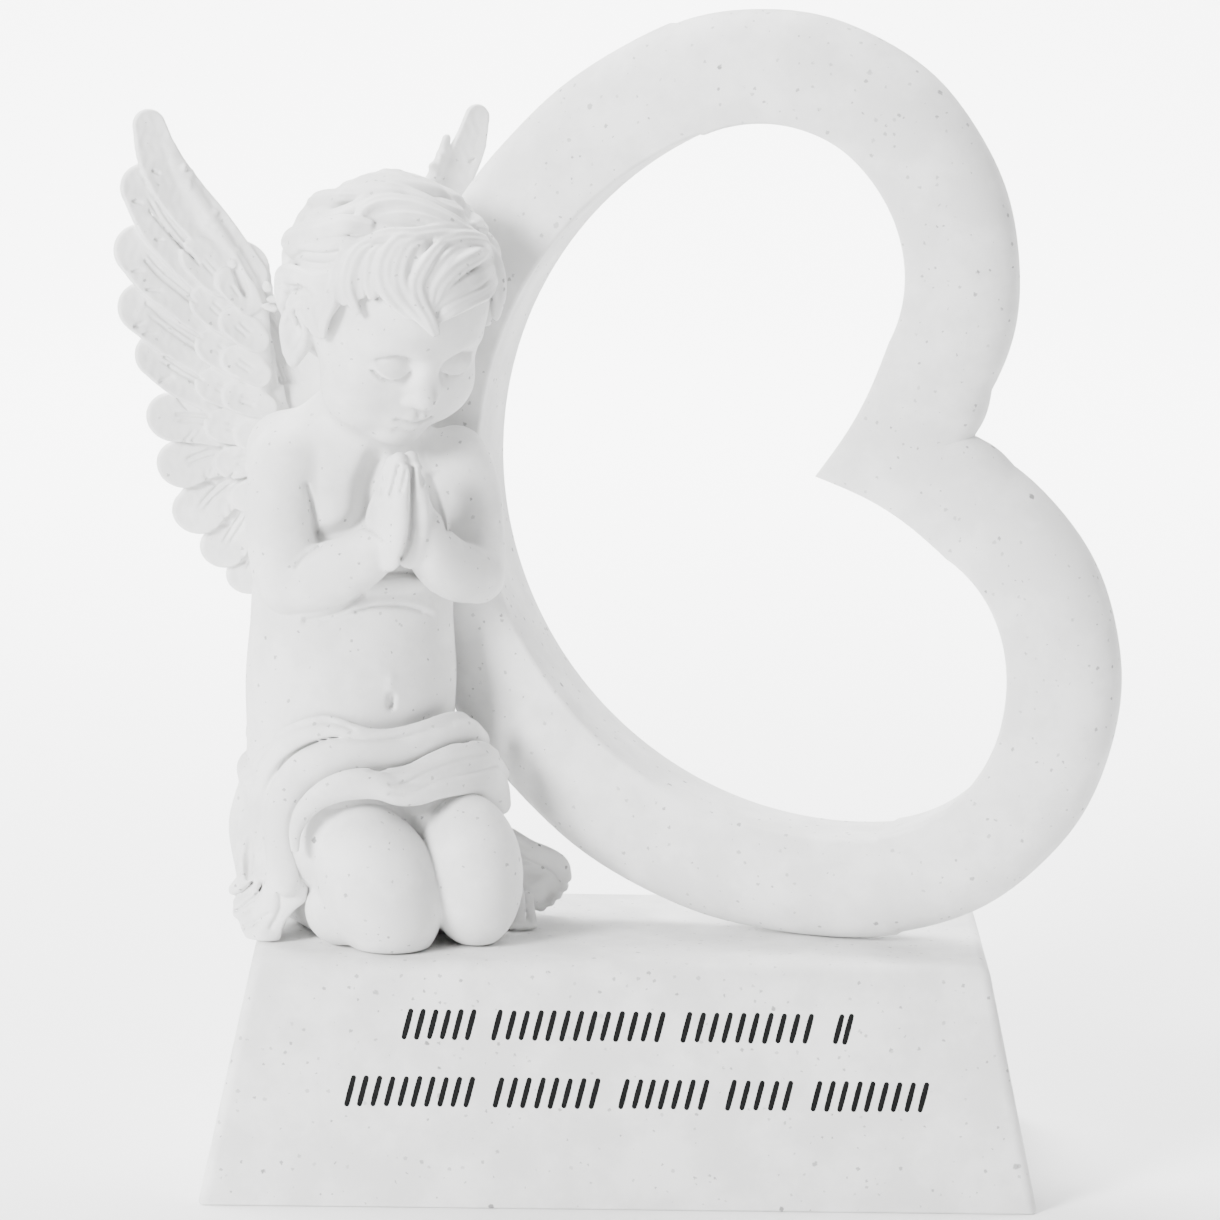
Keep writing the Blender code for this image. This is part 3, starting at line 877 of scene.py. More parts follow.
@dataclass
class BasePlinth:
    """Battered block with softened edges and two rows of slanted cut strokes on its front."""

    height: float = 40.0
    top: tuple[float, float] = (121.0, 52.0)
    bottom: tuple[float, float] = (138.0, 66.0)
    edge: float = 1.8
    foot_edge: float = 0.35
    edge_steps: int = 5
    row_heights: tuple[float, float] = (29.8, 18.9)
    rows: tuple[tuple[tuple[float, float], ...], ...] = (
        ((-36.0, -23.5), (-21.3, 7.6), (9.8, 32.0), (35.0, 38.3)),
        ((-45.3, -23.5), (-21.0, -2.9), (-0.3, 14.9), (17.2, 28.8), (31.3, 51.0)))
    stroke_pitch: float = 2.15
    stroke_width: float = 0.98
    stroke_height: float = 4.2
    stroke_depth: float = 0.5
    end_steps: int = 6
    slant: float = math.radians(14.0)
    cut_reach: float = 2.0
    overlap: float = 0.04
    paint_depth: tuple[float, float] = (0.6, 0.15)
    sharp: tuple[float, float] = (math.radians(35.0), math.radians(40.0))
    seed: int = 41

    def block(self) -> bpy.types.Object:
        """Build the block with its rounded edges.

        Returns:
            The block, still without its strokes.
        """
        bm = bmesh.new()
        bmesh.ops.create_cube(bm, size=1.0)
        for v in bm.verts:
            wide, deep = self.top if v.co.z > 0 else self.bottom
            v.co = Vector((v.co.x * wide, v.co.y * deep, (v.co.z + 0.5) * self.height)) * MM
        bmesh.ops.recalc_face_normals(bm, faces=bm.faces)
        weight = bm.edges.layers.float.new("bevel_weight_edge")
        for edge in bm.edges:
            edge[weight] = self.foot_edge if all(v.co.z < MM for v in edge.verts) else 1.0
        obj = solid_object("base_block_body", bm)
        bevel = obj.modifiers.new("Edges", "BEVEL")
        bevel.limit_method = "WEIGHT"
        bevel.width = self.edge * MM
        bevel.segments = self.edge_steps
        return obj

    def on_front(self, across: float, up: float, out: float) -> Vector:
        """Place a point on the battered front face.

        Args:
            across: Distance to the viewer's right of the middle.
            up: Height above the underside.
            out: Distance out of the face.

        Returns:
            The place in metres.
        """
        run = (self.bottom[1] - self.top[1]) / 2
        tilt = math.atan2(run, self.height)
        return Vector((across, -self.bottom[1] / 2 + run * up / self.height
                       - out * math.cos(tilt), up + out * math.sin(tilt))) * MM

    def strokes(self) -> list[list[tuple[float, float, float]]]:
        """Lay out the strokes of both rows.

        Returns:
            For each stroke, the places across and up its middle line and its half widths.
        """
        chance = np.random.default_rng(self.seed)
        laid = []
        for height, words in zip(self.row_heights, self.rows):
            for start, end in words:
                count = max(1, round((end - start) / self.stroke_pitch))
                for i in range(count):
                    across = start + (i + 0.5) * (end - start) / count + chance.uniform(-0.06, 0.06)
                    reach = self.stroke_height * chance.uniform(0.47, 0.51)
                    line = []
                    for t in np.linspace(-1.0, 1.0, 7):
                        swell = 0.9 + 0.1 * (1 - t * t) + chance.uniform(-0.04, 0.04)
                        line.append((across + reach * t * math.tan(self.slant), height + reach * t,
                                     self.stroke_width / 2 * swell))
                    laid.append(line)
        return laid

    def stroke_solids(self, name: str, shrink: float, bottom: float,
                      top: float) -> bpy.types.Object:
        """Build every stroke as a closed round-ended bar.

        Args:
            name: Name of the object.
            shrink: How much narrower than the cut each bar is, all round.
            bottom: Depth of the bars' backs, as a distance out of the face.
            top: Distance of the bars' fronts out of the face.

        Returns:
            The new object.
        """
        bm = bmesh.new()
        for line in self.strokes():
            outline = []
            for side, run, end in ((1, line, line[-2:]), (-1, line[::-1], line[:2])):
                outline += [(x + side * w - side * shrink, y) for x, y, w in run]
                x, y, w = run[-1]
                start = math.atan2(end[1][1] - end[0][1], end[1][0] - end[0][0])
                for k in range(1, self.end_steps):
                    a = start - side * math.pi / 2 + math.pi * k / self.end_steps
                    outline.append((x + (w - shrink) * math.cos(a), y + (w - shrink) * math.sin(a)))
            back = [bm.verts.new(self.on_front(x, y, bottom)) for x, y in outline]
            front = [bm.verts.new(self.on_front(x, y, top)) for x, y in outline]
            bm.faces.new(front)
            bm.faces.new(back[::-1])
            for i in range(len(outline)):
                j = (i + 1) % len(outline)
                bm.faces.new((front[i], back[i], back[j], front[j]))
        bmesh.ops.recalc_face_normals(bm, faces=bm.faces)
        return solid_object(name, bm)

    def build(self, stone: bpy.types.Material, paint: bpy.types.Material) -> None:
        """Make the block and the paint in its strokes.

        Args:
            stone: Finish of the block.
            paint: Finish of the strokes.
        """
        block = self.block()
        apply_modifiers(block)
        cutter = self.stroke_solids("stroke_cutter", 0.0, -self.stroke_depth, self.cut_reach)
        cut = block.modifiers.new("Strokes", "BOOLEAN")
        cut.operation, cut.solver, cut.object = "DIFFERENCE", "EXACT", cutter
        apply_modifiers(block)
        bpy.data.objects.remove(cutter)
        inlay = self.stroke_solids("inscription_paint_fill", -self.overlap,
                                   *(-depth for depth in self.paint_depth))
        for piece, angle in zip((block, inlay), self.sharp):
            piece.data.shade_smooth()
            piece.data.set_sharp_from_angle(angle=angle)
        place_piece(block, stone, ["base_block"])
        place_piece(inlay, paint)


# ------------------------------------------------------------------------------ heart ring


@dataclass
class HeartRing:
    """Hollow heart lying on its side, leant so that it rests on its lower lobe.

    The swell and the opening of the lobes, and the bows of the notch's inner and outer edges,
    are given for the upper half and then the lower one.
    """

    foot: tuple[float, float, float] = (37.0, -5.4, 40.0)
    turn: float = math.radians(15.0)
    roll: float = math.radians(15.5)
    notch: tuple[float, float] = (-6.2, 118.5)
    half_depth: float = 8.1
    big_centre: float = 5.2
    big_radius: float = 60.5
    lobe_centre: tuple[float, float] = (0.9, 35.8)
    lobe_radius: float = 24.0
    lobe_end: float = math.radians(-42.7)
    notch_inner: float = 1.9
    notch_outer: float = 27.8
    wall: float = 17.6
    foot_wall: float = 2.6
    foot_aim: tuple[float, float] = (0.87, 0.5)
    sink: float = 1.1
    sink_start: float = 0.7
    lobe_swell: tuple[float, float] = (1.3, 2.0)
    lobe_open: tuple[float, float] = (1.2, 2.1)
    lobe_turn: float = math.radians(70.0)
    notch_bows: tuple[tuple[float, float], ...] = ((1.2, 0.5), (1.6, 0.5))
    notch_steps: int = 14
    inner_edge: float = 0.7
    edge_steps: int = 4
    fullness: tuple[float, float] = (0.92, 0.9)
    waver: tuple[tuple[float, float, float], ...] = ((0.12, 0.11, 0.0), (0.08, 0.263, 1.0))
    floor_gap: float = 0.3
    sharp: float = math.radians(42.0)

    def width(self, down: float | Array, left: float | Array) -> float | Array:
        """Work out the wall's width for an outward direction.

        Args:
            down: How far the direction points down.
            left: How far it points to the viewer's left.

        Returns:
            The width in mm.
        """
        towards_foot = self.foot_aim[0] * down + self.foot_aim[1] * left
        return self.wall + self.foot_wall * np.maximum(0.0, towards_foot) ** 3

    def stations(self, side: int) -> list[tuple[Array, Array]]:
        """Lay out one half of the wall, from the notch to the heart's point.

        Args:
            side: 1 for the upper half, -1 for the lower one.

        Returns:
            Pairs of inner and outer points in the heart's own plane.
        """
        steps = 110
        half = 0 if side > 0 else 1
        flip = np.array([1.0, side])
        c, s = math.cos(self.roll), math.sin(self.roll)
        down = np.array([-s, -c]) * self.sink
        tangent = math.atan2(self.lobe_centre[1], self.lobe_centre[0] - self.big_centre)
        pairs = []
        for centre, radius, start, end in (
                (np.array(self.lobe_centre), self.lobe_radius, self.lobe_end, tangent),
                (np.array([self.big_centre, 0.0]), self.big_radius, tangent, math.pi)):
            for angle in np.linspace(start, end, steps + 1)[0 if not pairs else 1:]:
                out = np.array([math.cos(angle), math.sin(angle)])
                inner = centre + radius * out
                a, b = out * flip
                t = min(1.0, max(0.0, 1.0 - (angle - self.lobe_end) / self.lobe_turn))
                ease = t * t * (3.0 - 2.0 * t)
                wall = self.width(-a * s - b * c, b * s - a * c) + self.lobe_swell[half] * ease
                inner_lift = out * self.lobe_open[half] * ease
                share = min(1.0, max(0.0, angle - self.sink_start))
                pairs.append(((inner + inner_lift) * flip + down * share,
                              (inner + out * wall) * flip))
        first = (np.array([self.notch_inner, 0.0]), np.array([self.notch_outer, 0.0]))
        out = unit(pairs[0][1] - pairs[0][0])
        curved = []
        for k in range(self.notch_steps):
            t = k / self.notch_steps
            curved.append(tuple(a + (b - a) * t + out * bow * math.sin(math.pi * t)
                                for a, b, bow in zip(first, pairs[0], self.notch_bows[half])))
        return curved + pairs

    def section(self) -> list[tuple[float, float, float]]:
        """Lay out the wall's outline, flat on the inside and rounded outwards.

        Returns:
            Rows of a share of the wall's width, a fixed reach added to it, and a depth.
        """
        points = 34
        soft = self.inner_edge
        corner = []
        for k in range(self.edge_steps):
            a = math.radians(90.0 * k / self.edge_steps)
            corner.append((soft * (1 - math.cos(a)), self.half_depth - soft * (1 - math.sin(a))))
        rows = [(0.0, reach, -depth) for reach, depth in corner]
        for k in range(points + 1):
            a = math.pi * (k / points - 0.5)
            share = max(0.0, math.cos(a)) ** self.fullness[0]
            depth = math.copysign(abs(math.sin(a)) ** self.fullness[1], math.sin(a))
            rows.append((share, soft * (1 - share), depth * self.half_depth))
        return rows + [(0.0, reach, depth) for reach, depth in reversed(corner)]

    def place(self, across: float, height: float, depth: float) -> Array:
        """Place a point given in the ring's upright plane.

        Args:
            across: Distance along the plane.
            height: Height above the underside of the base.
            depth: Distance behind the middle of the plane.

        Returns:
            The place in mm, never below the top of the base.
        """
        c, s = math.cos(self.turn), math.sin(self.turn)
        return np.array([self.foot[0] + across * c + depth * s,
                         self.foot[1] - across * s + depth * c,
                         max(height, self.foot[2] + self.floor_gap)])

    def build(self, stone: bpy.types.Material) -> None:
        """Make the ring.

        Args:
            stone: Its finish.
        """
        upper, lower = self.stations(1), self.stations(-1)
        loop = upper + lower[::-1][1:-1]
        bm = bmesh.new()
        rings = []
        c, s = math.cos(self.roll), math.sin(self.roll)
        section = self.section()
        for index, (inner, outer) in enumerate(loop):
            length = float(np.linalg.norm(outer - inner))
            out = (outer - inner) / length
            length += sum(size * math.sin(index * rate + shift)
                          for size, rate, shift in self.waver)
            ring = []
            for share, fixed, depth in section:
                a, b = inner + out * (fixed + share * length)
                across = self.notch[0] + a * c - b * s
                height = self.notch[1] + a * s + b * c
                ring.append(bm.verts.new(Vector(self.place(across, height, depth)) * MM))
            rings.append(ring)
        for this, after in zip(rings, rings[1:] + rings[:1]):
            for i in range(len(this)):
                j = (i + 1) % len(this)
                bm.faces.new((this[i], this[j], after[j], after[i]))
        bmesh.ops.recalc_face_normals(bm, faces=bm.faces)
        obj = solid_object("heart_ring_body", bm)
        obj.data.shade_smooth()
        obj.data.set_sharp_from_angle(angle=self.sharp)
        place_piece(obj, stone, ["heart_ring"])


# ------------------------------------------------------------------------------ wings


@dataclass(frozen=True)
class Feather:
    """One feather laid on the flat wing.

    The spine's rows are lateral, height and half width, from root to tip.
    """

    spine: tuple[tuple[float, float, float], ...]
    proud: float = 0.0
    groove: float = 0.0
    rim: float = 0.28
    thick: float = 0.72
    tilt: float = 0.2
    soft: float = 0.4
    ripple: float = 0.022

    def distance(self, x: Array, y: Array, z: Array) -> Array:
        """Measure the block of the grid against the feather.

        Args:
            x: Lateral places.
            y: Heights.
            z: Distances off the wing's plane.

        Returns:
            The distances to the feather's skin.
        """
        rows = smooth_course(self.spine, 5)
        edge = np.full((x.size, y.size, 1), FAR, np.float32)
        across, size, along = np.zeros_like(edge), np.ones_like(edge), np.zeros_like(edge)
        for i, (a, b) in enumerate(zip(rows, rows[1:])):
            run = b[:2] - a[:2]
            length = float(np.hypot(*run))
            px, py = x - a[0], y - a[1]
            t = np.clip((px * run[0] + py * run[1]) / length ** 2, 0.0, 1.0)
            half = a[2] + t * (b[2] - a[2])
            gap = np.sqrt((px - t * run[0]) ** 2 + (py - t * run[1]) ** 2) - half
            nearer = gap < edge
            edge = np.where(nearer, gap, edge)
            across = np.where(nearer, (run[0] * py - run[1] * px) / length, across)
            size = np.where(nearer, half, size)
            along = np.where(nearer, (i + t) / (len(rows) - 1), along)
        share = np.clip(np.abs(across) / size, 0.0, 1.3)
        relief = self.rim * (share ** 3 - 0.35)
        if self.groove:
            window = np.clip((along - 0.3) / 0.12, 0, 1) * np.clip((0.97 - along) / 0.15, 0, 1)
            relief = relief - self.groove * window * np.exp(-((np.abs(across) - 0.5) / 0.26) ** 2)
        ripple = np.sin(2.6 * x + 1.5 * y) + np.sin(1.1 * x - 2.3 * y + 1.0) \
            + np.sin(4.1 * x - 1.7 * np.sin(1.3 * y))
        relief = relief + self.ripple * ripple
        rise = z - (self.proud - self.tilt * across)
        side = edge + self.soft
        level = np.where(rise > 0, rise - relief, -rise) - (self.thick - self.soft)
        outside = np.sqrt(np.maximum(side, 0.0) ** 2 + np.maximum(level, 0.0) ** 2)
        return np.minimum(np.maximum(side, level), 0.0) + outside - self.soft

    def lay(self, clay: Clay, blend: float = 0.15) -> None:
        """Lay the feather on the clay.

        Args:
            clay: The wing's clay.
            blend: Softness of its meeting with the clay under it.
        """
        rows = np.array(self.spine)
        room = rows[:, 2:3] + 0.2
        low, high = (rows[:, :2] - room).min(0), (rows[:, :2] + room).max(0)
        lift = self.thick + self.rim + self.tilt * float(rows[:, 2].max()) + 0.3
        clay.form((*low, self.proud - lift), (*high, self.proud + lift), self.distance, Act.ADD,
                  blend)


@dataclass
class Wing:
    """One outspread wing, modelled flat and then swept back as it spreads."""

    name: str
    side: int
    node: str
    voxel: float = 0.24
    limit: int = 170_000
    seed: int = 7
    root_sweep: float = 11.0
    bend_sweep: float = 6.0
    bend_reach: float = 5.0
    tip_sweep: float = 0.28
    off_plane: tuple[float, float, float] = (0.0, 0.0, 1.0)
    primaries: tuple[tuple[tuple[float, float, float], ...], ...] = (
        ((12.5, 148.0, 3.4), (18.0, 155.6, 3.8), (22.8, 161.6, 3.9), (26.4, 167.6, 3.5),
         (28.0, 173.2, 2.7)),
        ((13.0, 143.0, 3.8), (19.5, 150.0, 4.3), (25.0, 156.6, 4.7), (28.6, 162.7, 4.1)),
        ((13.0, 136.8, 4.0), (17.4, 140.9, 4.2), (22.5, 145.3, 4.3), (26.3, 148.6, 4.5),
         (29.3, 152.2, 4.4)),
        ((13.0, 131.2, 4.0), (17.4, 134.4, 4.2), (22.8, 138.0, 4.4), (28.7, 142.6, 4.3)),
        ((13.5, 126.4, 4.0), (18.0, 129.3, 4.1), (22.4, 131.8, 4.3), (26.3, 134.6, 3.9)),
        ((13.0, 121.5, 3.6), (17.0, 123.2, 3.9), (20.6, 124.0, 4.1), (24.2, 124.2, 4.0)),
        ((12.5, 118.6, 3.4), (16.0, 118.4, 3.6), (19.4, 117.6, 3.9), (22.5, 116.2, 3.9)),
        ((11.5, 115.5, 3.2), (14.5, 113.6, 3.5), (17.4, 111.2, 3.9), (20.0, 108.2, 3.8)),
        ((9.5, 112.0, 3.0), (11.8, 108.8, 3.4), (14.0, 105.2, 3.6), (15.9, 102.0, 3.4)),
        ((7.5, 107.5, 2.8), (9.0, 104.0, 3.1), (10.6, 100.4, 3.3), (12.0, 97.2, 3.1)))
    slender: tuple[tuple[tuple[float, float, float], ...], ...] = (
        ((14.5, 148.0, 3.4), (20.0, 155.6, 3.7), (25.0, 161.8, 3.5), (28.8, 167.8, 3.0),
         (30.6, 173.0, 2.2)),
        ((14.2, 142.6, 3.0), (18.4, 146.2, 3.5), (21.6, 149.0, 3.7), (23.4, 151.2, 3.5)))
    outer_coverts: tuple[tuple[float, float, float, float], ...] = (
        (20.2, 151.6, 50.0, 3.4), (19.0, 144.0, 44.0, 3.2), (18.2, 136.6, 36.0, 3.1),
        (17.8, 129.8, 24.0, 3.0), (16.6, 123.0, 8.0, 2.9), (14.9, 116.8, -14.0, 2.7),
        (12.8, 111.0, -34.0, 2.5), (10.6, 105.6, -52.0, 2.2))
    inner_coverts: tuple[tuple[float, float, float, float], ...] = (
        (15.6, 147.6, 54.0, 2.6), (15.0, 140.6, 42.0, 2.6), (14.7, 134.2, 34.0, 2.5),
        (14.1, 127.8, 20.0, 2.5), (12.8, 121.4, 0.0, 2.4), (11.2, 115.6, -24.0, 2.2))

    def place(self, points: Array) -> Array:
        """Sweep the flat wing back to its place behind the figure.

        Args:
            points: Rows of lateral, height and distance off the wing's plane.

        Returns:
            Rows of places in mm.
        """
        lateral, height, proud = points.T
        sweep = self.root_sweep + self.bend_sweep * (1.0 - np.exp(-lateral / self.bend_reach)) \
            + self.tip_sweep * lateral
        c, s = math.cos(BODY.turn), math.sin(BODY.turn)
        across, forward = self.side * lateral, proud - sweep
        return np.column_stack([BODY.origin[0] + across * c + forward * s,
                                BODY.origin[1] + across * s - forward * c, height])

    def plumage(self, clay: Clay, chance: np.random.Generator) -> None:
        """Lay the long feathers and two rows of coverts over them.

        Args:
            clay: The wing's clay.
            chance: Source of the random draws.
        """
        spines = list(self.primaries)
        if self.side > 0:
            spines[:2] = self.slender
        palm = [(13.5, 149.0, -0.3), (13.5, 138.0, -0.3), (12.5, 126.0, -0.3), (11.0, 114.0, -0.3),
                (9.0, 105.0, -0.3)]
        clay.rope(palm, [5.0, 6.4, 6.4, 5.2, 3.6], 0.6, flat=[self.off_plane] * 5, squash=0.2)
        for i, spine in enumerate(reversed(spines)):
            Feather(spine, proud=0.1 * i, groove=0.6 if i < len(spines) - 1 else 0.0).lay(clay)
            self.dashes(clay, chance, spine)
        for row, proud, reach in ((self.outer_coverts, 2.0, 5.4), (self.inner_coverts, 2.8, 4.4)):
            for lateral, height, angle, half in reversed(row):
                run = np.array([math.cos(math.radians(angle)), math.sin(math.radians(angle))])
                tip = np.array([lateral, height]) + run * chance.uniform(-0.5, 0.5)
                spine = tuple((*(tip - run * back), half * size) for back, size in
                              ((reach, 0.8), (reach * 0.5, 0.98), (0.0, 1.0)))
                Feather(spine, proud, groove=0.35, rim=0.4).lay(clay, 0.12)

    def dashes(self, clay: Clay, chance: np.random.Generator,
               spine: Sequence[Sequence[float]]) -> None:
        """Cut a few short dashes into a feather's vane.

        Args:
            clay: The wing's clay.
            chance: Source of the random draws.
            spine: Rows of lateral, height and half width, from root to tip.
        """
        rows = smooth_course(spine, 4)
        for edge in (-1.0, -1.0, 1.0):
            k = int(len(rows) * chance.uniform(0.62, 0.96))
            run = unit(rows[k, :2] - rows[k - 1, :2])
            over = np.array([-run[1], run[0]]) * edge
            start = rows[k, :2] + over * rows[k, 2] * chance.uniform(0.8, 1.0)
            end = start - over * rows[k, 2] * chance.uniform(0.35, 0.6) \
                - run * chance.uniform(1, 2)
            high = 1.0 - 0.2 * edge * rows[k, 2] * 0.8
            clay.score([(*start, high), (*end, high)], 0.24, 0.55, steps=3)

    def arm(self, clay: Clay, chance: np.random.Generator) -> None:
        """Model the wing's arm along the leading edge, its grooves and its glued root.

        Args:
            clay: The wing's clay.
            chance: Source of the random draws.
        """
        ridge = ((10.8, 121.0, 0.4, 2.8), (11.2, 128.0, 0.7, 2.4), (10.9, 136.0, 0.9, 2.1),
                 (11.0, 142.6, 1.1, 1.7), (13.4, 148.4, 1.2, 1.7), (17.0, 154.6, 1.1, 1.5),
                 (20.7, 161.4, 0.9, 1.3), (23.3, 166.2, 0.6, 1.0), (24.7, 169.6, 0.3, 0.8))
        clay.rope([row[:3] for row in ridge], [row[3] for row in ridge], blend=0.9)
        for line, width, depth in (
                (((21.0, 157.0), (18.2, 154.4), (15.2, 150.2), (13.2, 145.4)), 0.42, 1.2),
                (((23.0, 162.8), (20.4, 158.8), (17.6, 155.4)), 0.3, 0.6),
                (((24.4, 166.8), (22.8, 163.4)), 0.25, 0.5),
                (((13.8, 152.0), (12.0, 148.0)), 0.28, 0.6)):
            clay.score([(*spot, 2.6) for spot in line], width * 1.5, depth)
        for _ in range(30):
            t = chance.uniform(3.0, 7.4)
            k, f = int(t), t - int(t)
            spot = np.array(ridge[k][:3]) * (1 - f) + np.array(ridge[k + 1][:3]) * f
            size = ridge[k][3]
            over = unit(chance.normal(size=3) + (0.2, 0.2, 0.9)) * size * 0.8
            clay.ball(spot + over, chance.uniform(0.4, 0.95, 3), 0.45)
        for _ in range(7):
            spot = (9.0 + chance.uniform(-0.8, 1.2), 144.5 + chance.uniform(-2.4, 2.4), 3.4)
            clay.ball(spot, chance.uniform(0.5, 1.0, 3), 0.3)
        web = [(9.0, 142.0, -3.0), (6.0, 134.0, -3.2), (4.6, 127.0, -3.2), (4.4, 121.0, -2.0)]
        clay.rope(web, [3.0, 5.0, 5.4, 5.0], 0.8, flat=[self.off_plane] * 4, squash=0.3)
        for shift in (-1.6, -0.8, 0.0, 0.8, 1.6, 2.4, 3.2):
            streak = [(8.6 + 0.12 * shift, 141.6, -2.0), (6.9 + 0.55 * shift, 136.4, -2.0),
                      (4.7 + 0.75 * shift, 130.0, -2.0)]
            clay.trace(streak, 0.26, 0.9, self.off_plane, reach=3.0)
        for line in (((28.0, 159.0), (24.4, 154.6), (20.4, 150.2)),
                     ((28.6, 150.6), (25.0, 147.2), (21.3, 144.0)),
                     ((28.4, 143.4), (24.6, 140.6), (20.2, 138.0)),
                     ((25.4, 134.4), (22.6, 132.4), (20.0, 130.8)),
                     ((23.4, 124.6), (21.0, 124.6), (18.8, 124.4)),
                     ((20.6, 117.4), (18.4, 118.6), (16.4, 119.2)),
                     ((18.4, 110.6), (16.6, 113.0), (15.0, 115.0))):
            clay.trace([(*spot, 1.9) for spot in line], 0.24, 0.65, self.off_plane, reach=1.2)
        clay.rope([(9.4, 126.0, -0.4), (8.0, 120.0, -0.2), (6.4, 113.0, 0.0), (6.2, 105.0, 0.3)],
                  [2.8, 4.0, 4.6, 3.4], blend=1.5)

    def build(self, stone: bpy.types.Material) -> None:
        """Make the wing.

        Args:
            stone: Its finish.
        """
        clay = Clay(self.name, self.voxel)
        chance = np.random.default_rng(self.seed)
        self.plumage(clay, chance)
        self.arm(clay, chance)
        place_piece(clay.mesh(self.place, self.limit), stone, [self.node])


# ------------------------------------------------------------------------------ cherub


def ring_clearance(clay: Clay, ring: HeartRing, gap: float = 0.25) -> None:
    """Carve the clay back where it would enter the heart ring.

    Args:
        clay: The clay to carve.
        ring: The ring beside it.
        gap: Room left between the two.
    """
    ct, st = math.cos(ring.turn), math.sin(ring.turn)
    cr, sr = math.cos(ring.roll), math.sin(ring.roll)

    def distance(x: Array, y: Array, z: Array) -> Array:
        """Measure the block of the grid against the ring's large arc, grown by the gap.

        Args:
            x: Places along x.
            y: Places along y.
            z: Places along z.

        Returns:
            The distances.
        """
        u = (x - ring.foot[0]) * ct - (y - ring.foot[1]) * st
        depth = (x - ring.foot[0]) * st + (y - ring.foot[1]) * ct
        a = (u - ring.notch[0]) * cr + (z - ring.notch[1]) * sr - ring.big_centre
        b = -(u - ring.notch[0]) * sr + (z - ring.notch[1]) * cr
        reach = np.sqrt(a * a + b * b) - ring.big_radius
        down = np.clip((-a * sr - b * cr) / (reach + ring.big_radius), -1, 1)
        left = np.clip((b * sr - a * cr) / (reach + ring.big_radius), -1, 1)
        outer = np.sqrt((np.maximum(reach, 0.0) / ring.width(down, left)) ** 2
                        + (depth / ring.half_depth) ** 2)
        return np.maximum((outer - 1.0) * ring.half_depth - gap, -reach - gap)

    clay.form((-45.0, -35.0, 38.0), (5.0, 30.0, 180.0), distance, Act.CARVE, 0.3)


def base_clearance(clay: Clay, top: float = 40.3) -> None:
    """Slice the clay off level, just above the base.

    Args:
        clay: The clay to slice.
        top: Height of the slice.
    """
    clay.form((-75, -40, 20), (10, 40, 44), lambda x, y, z: z - top, Act.CARVE, 0.3)


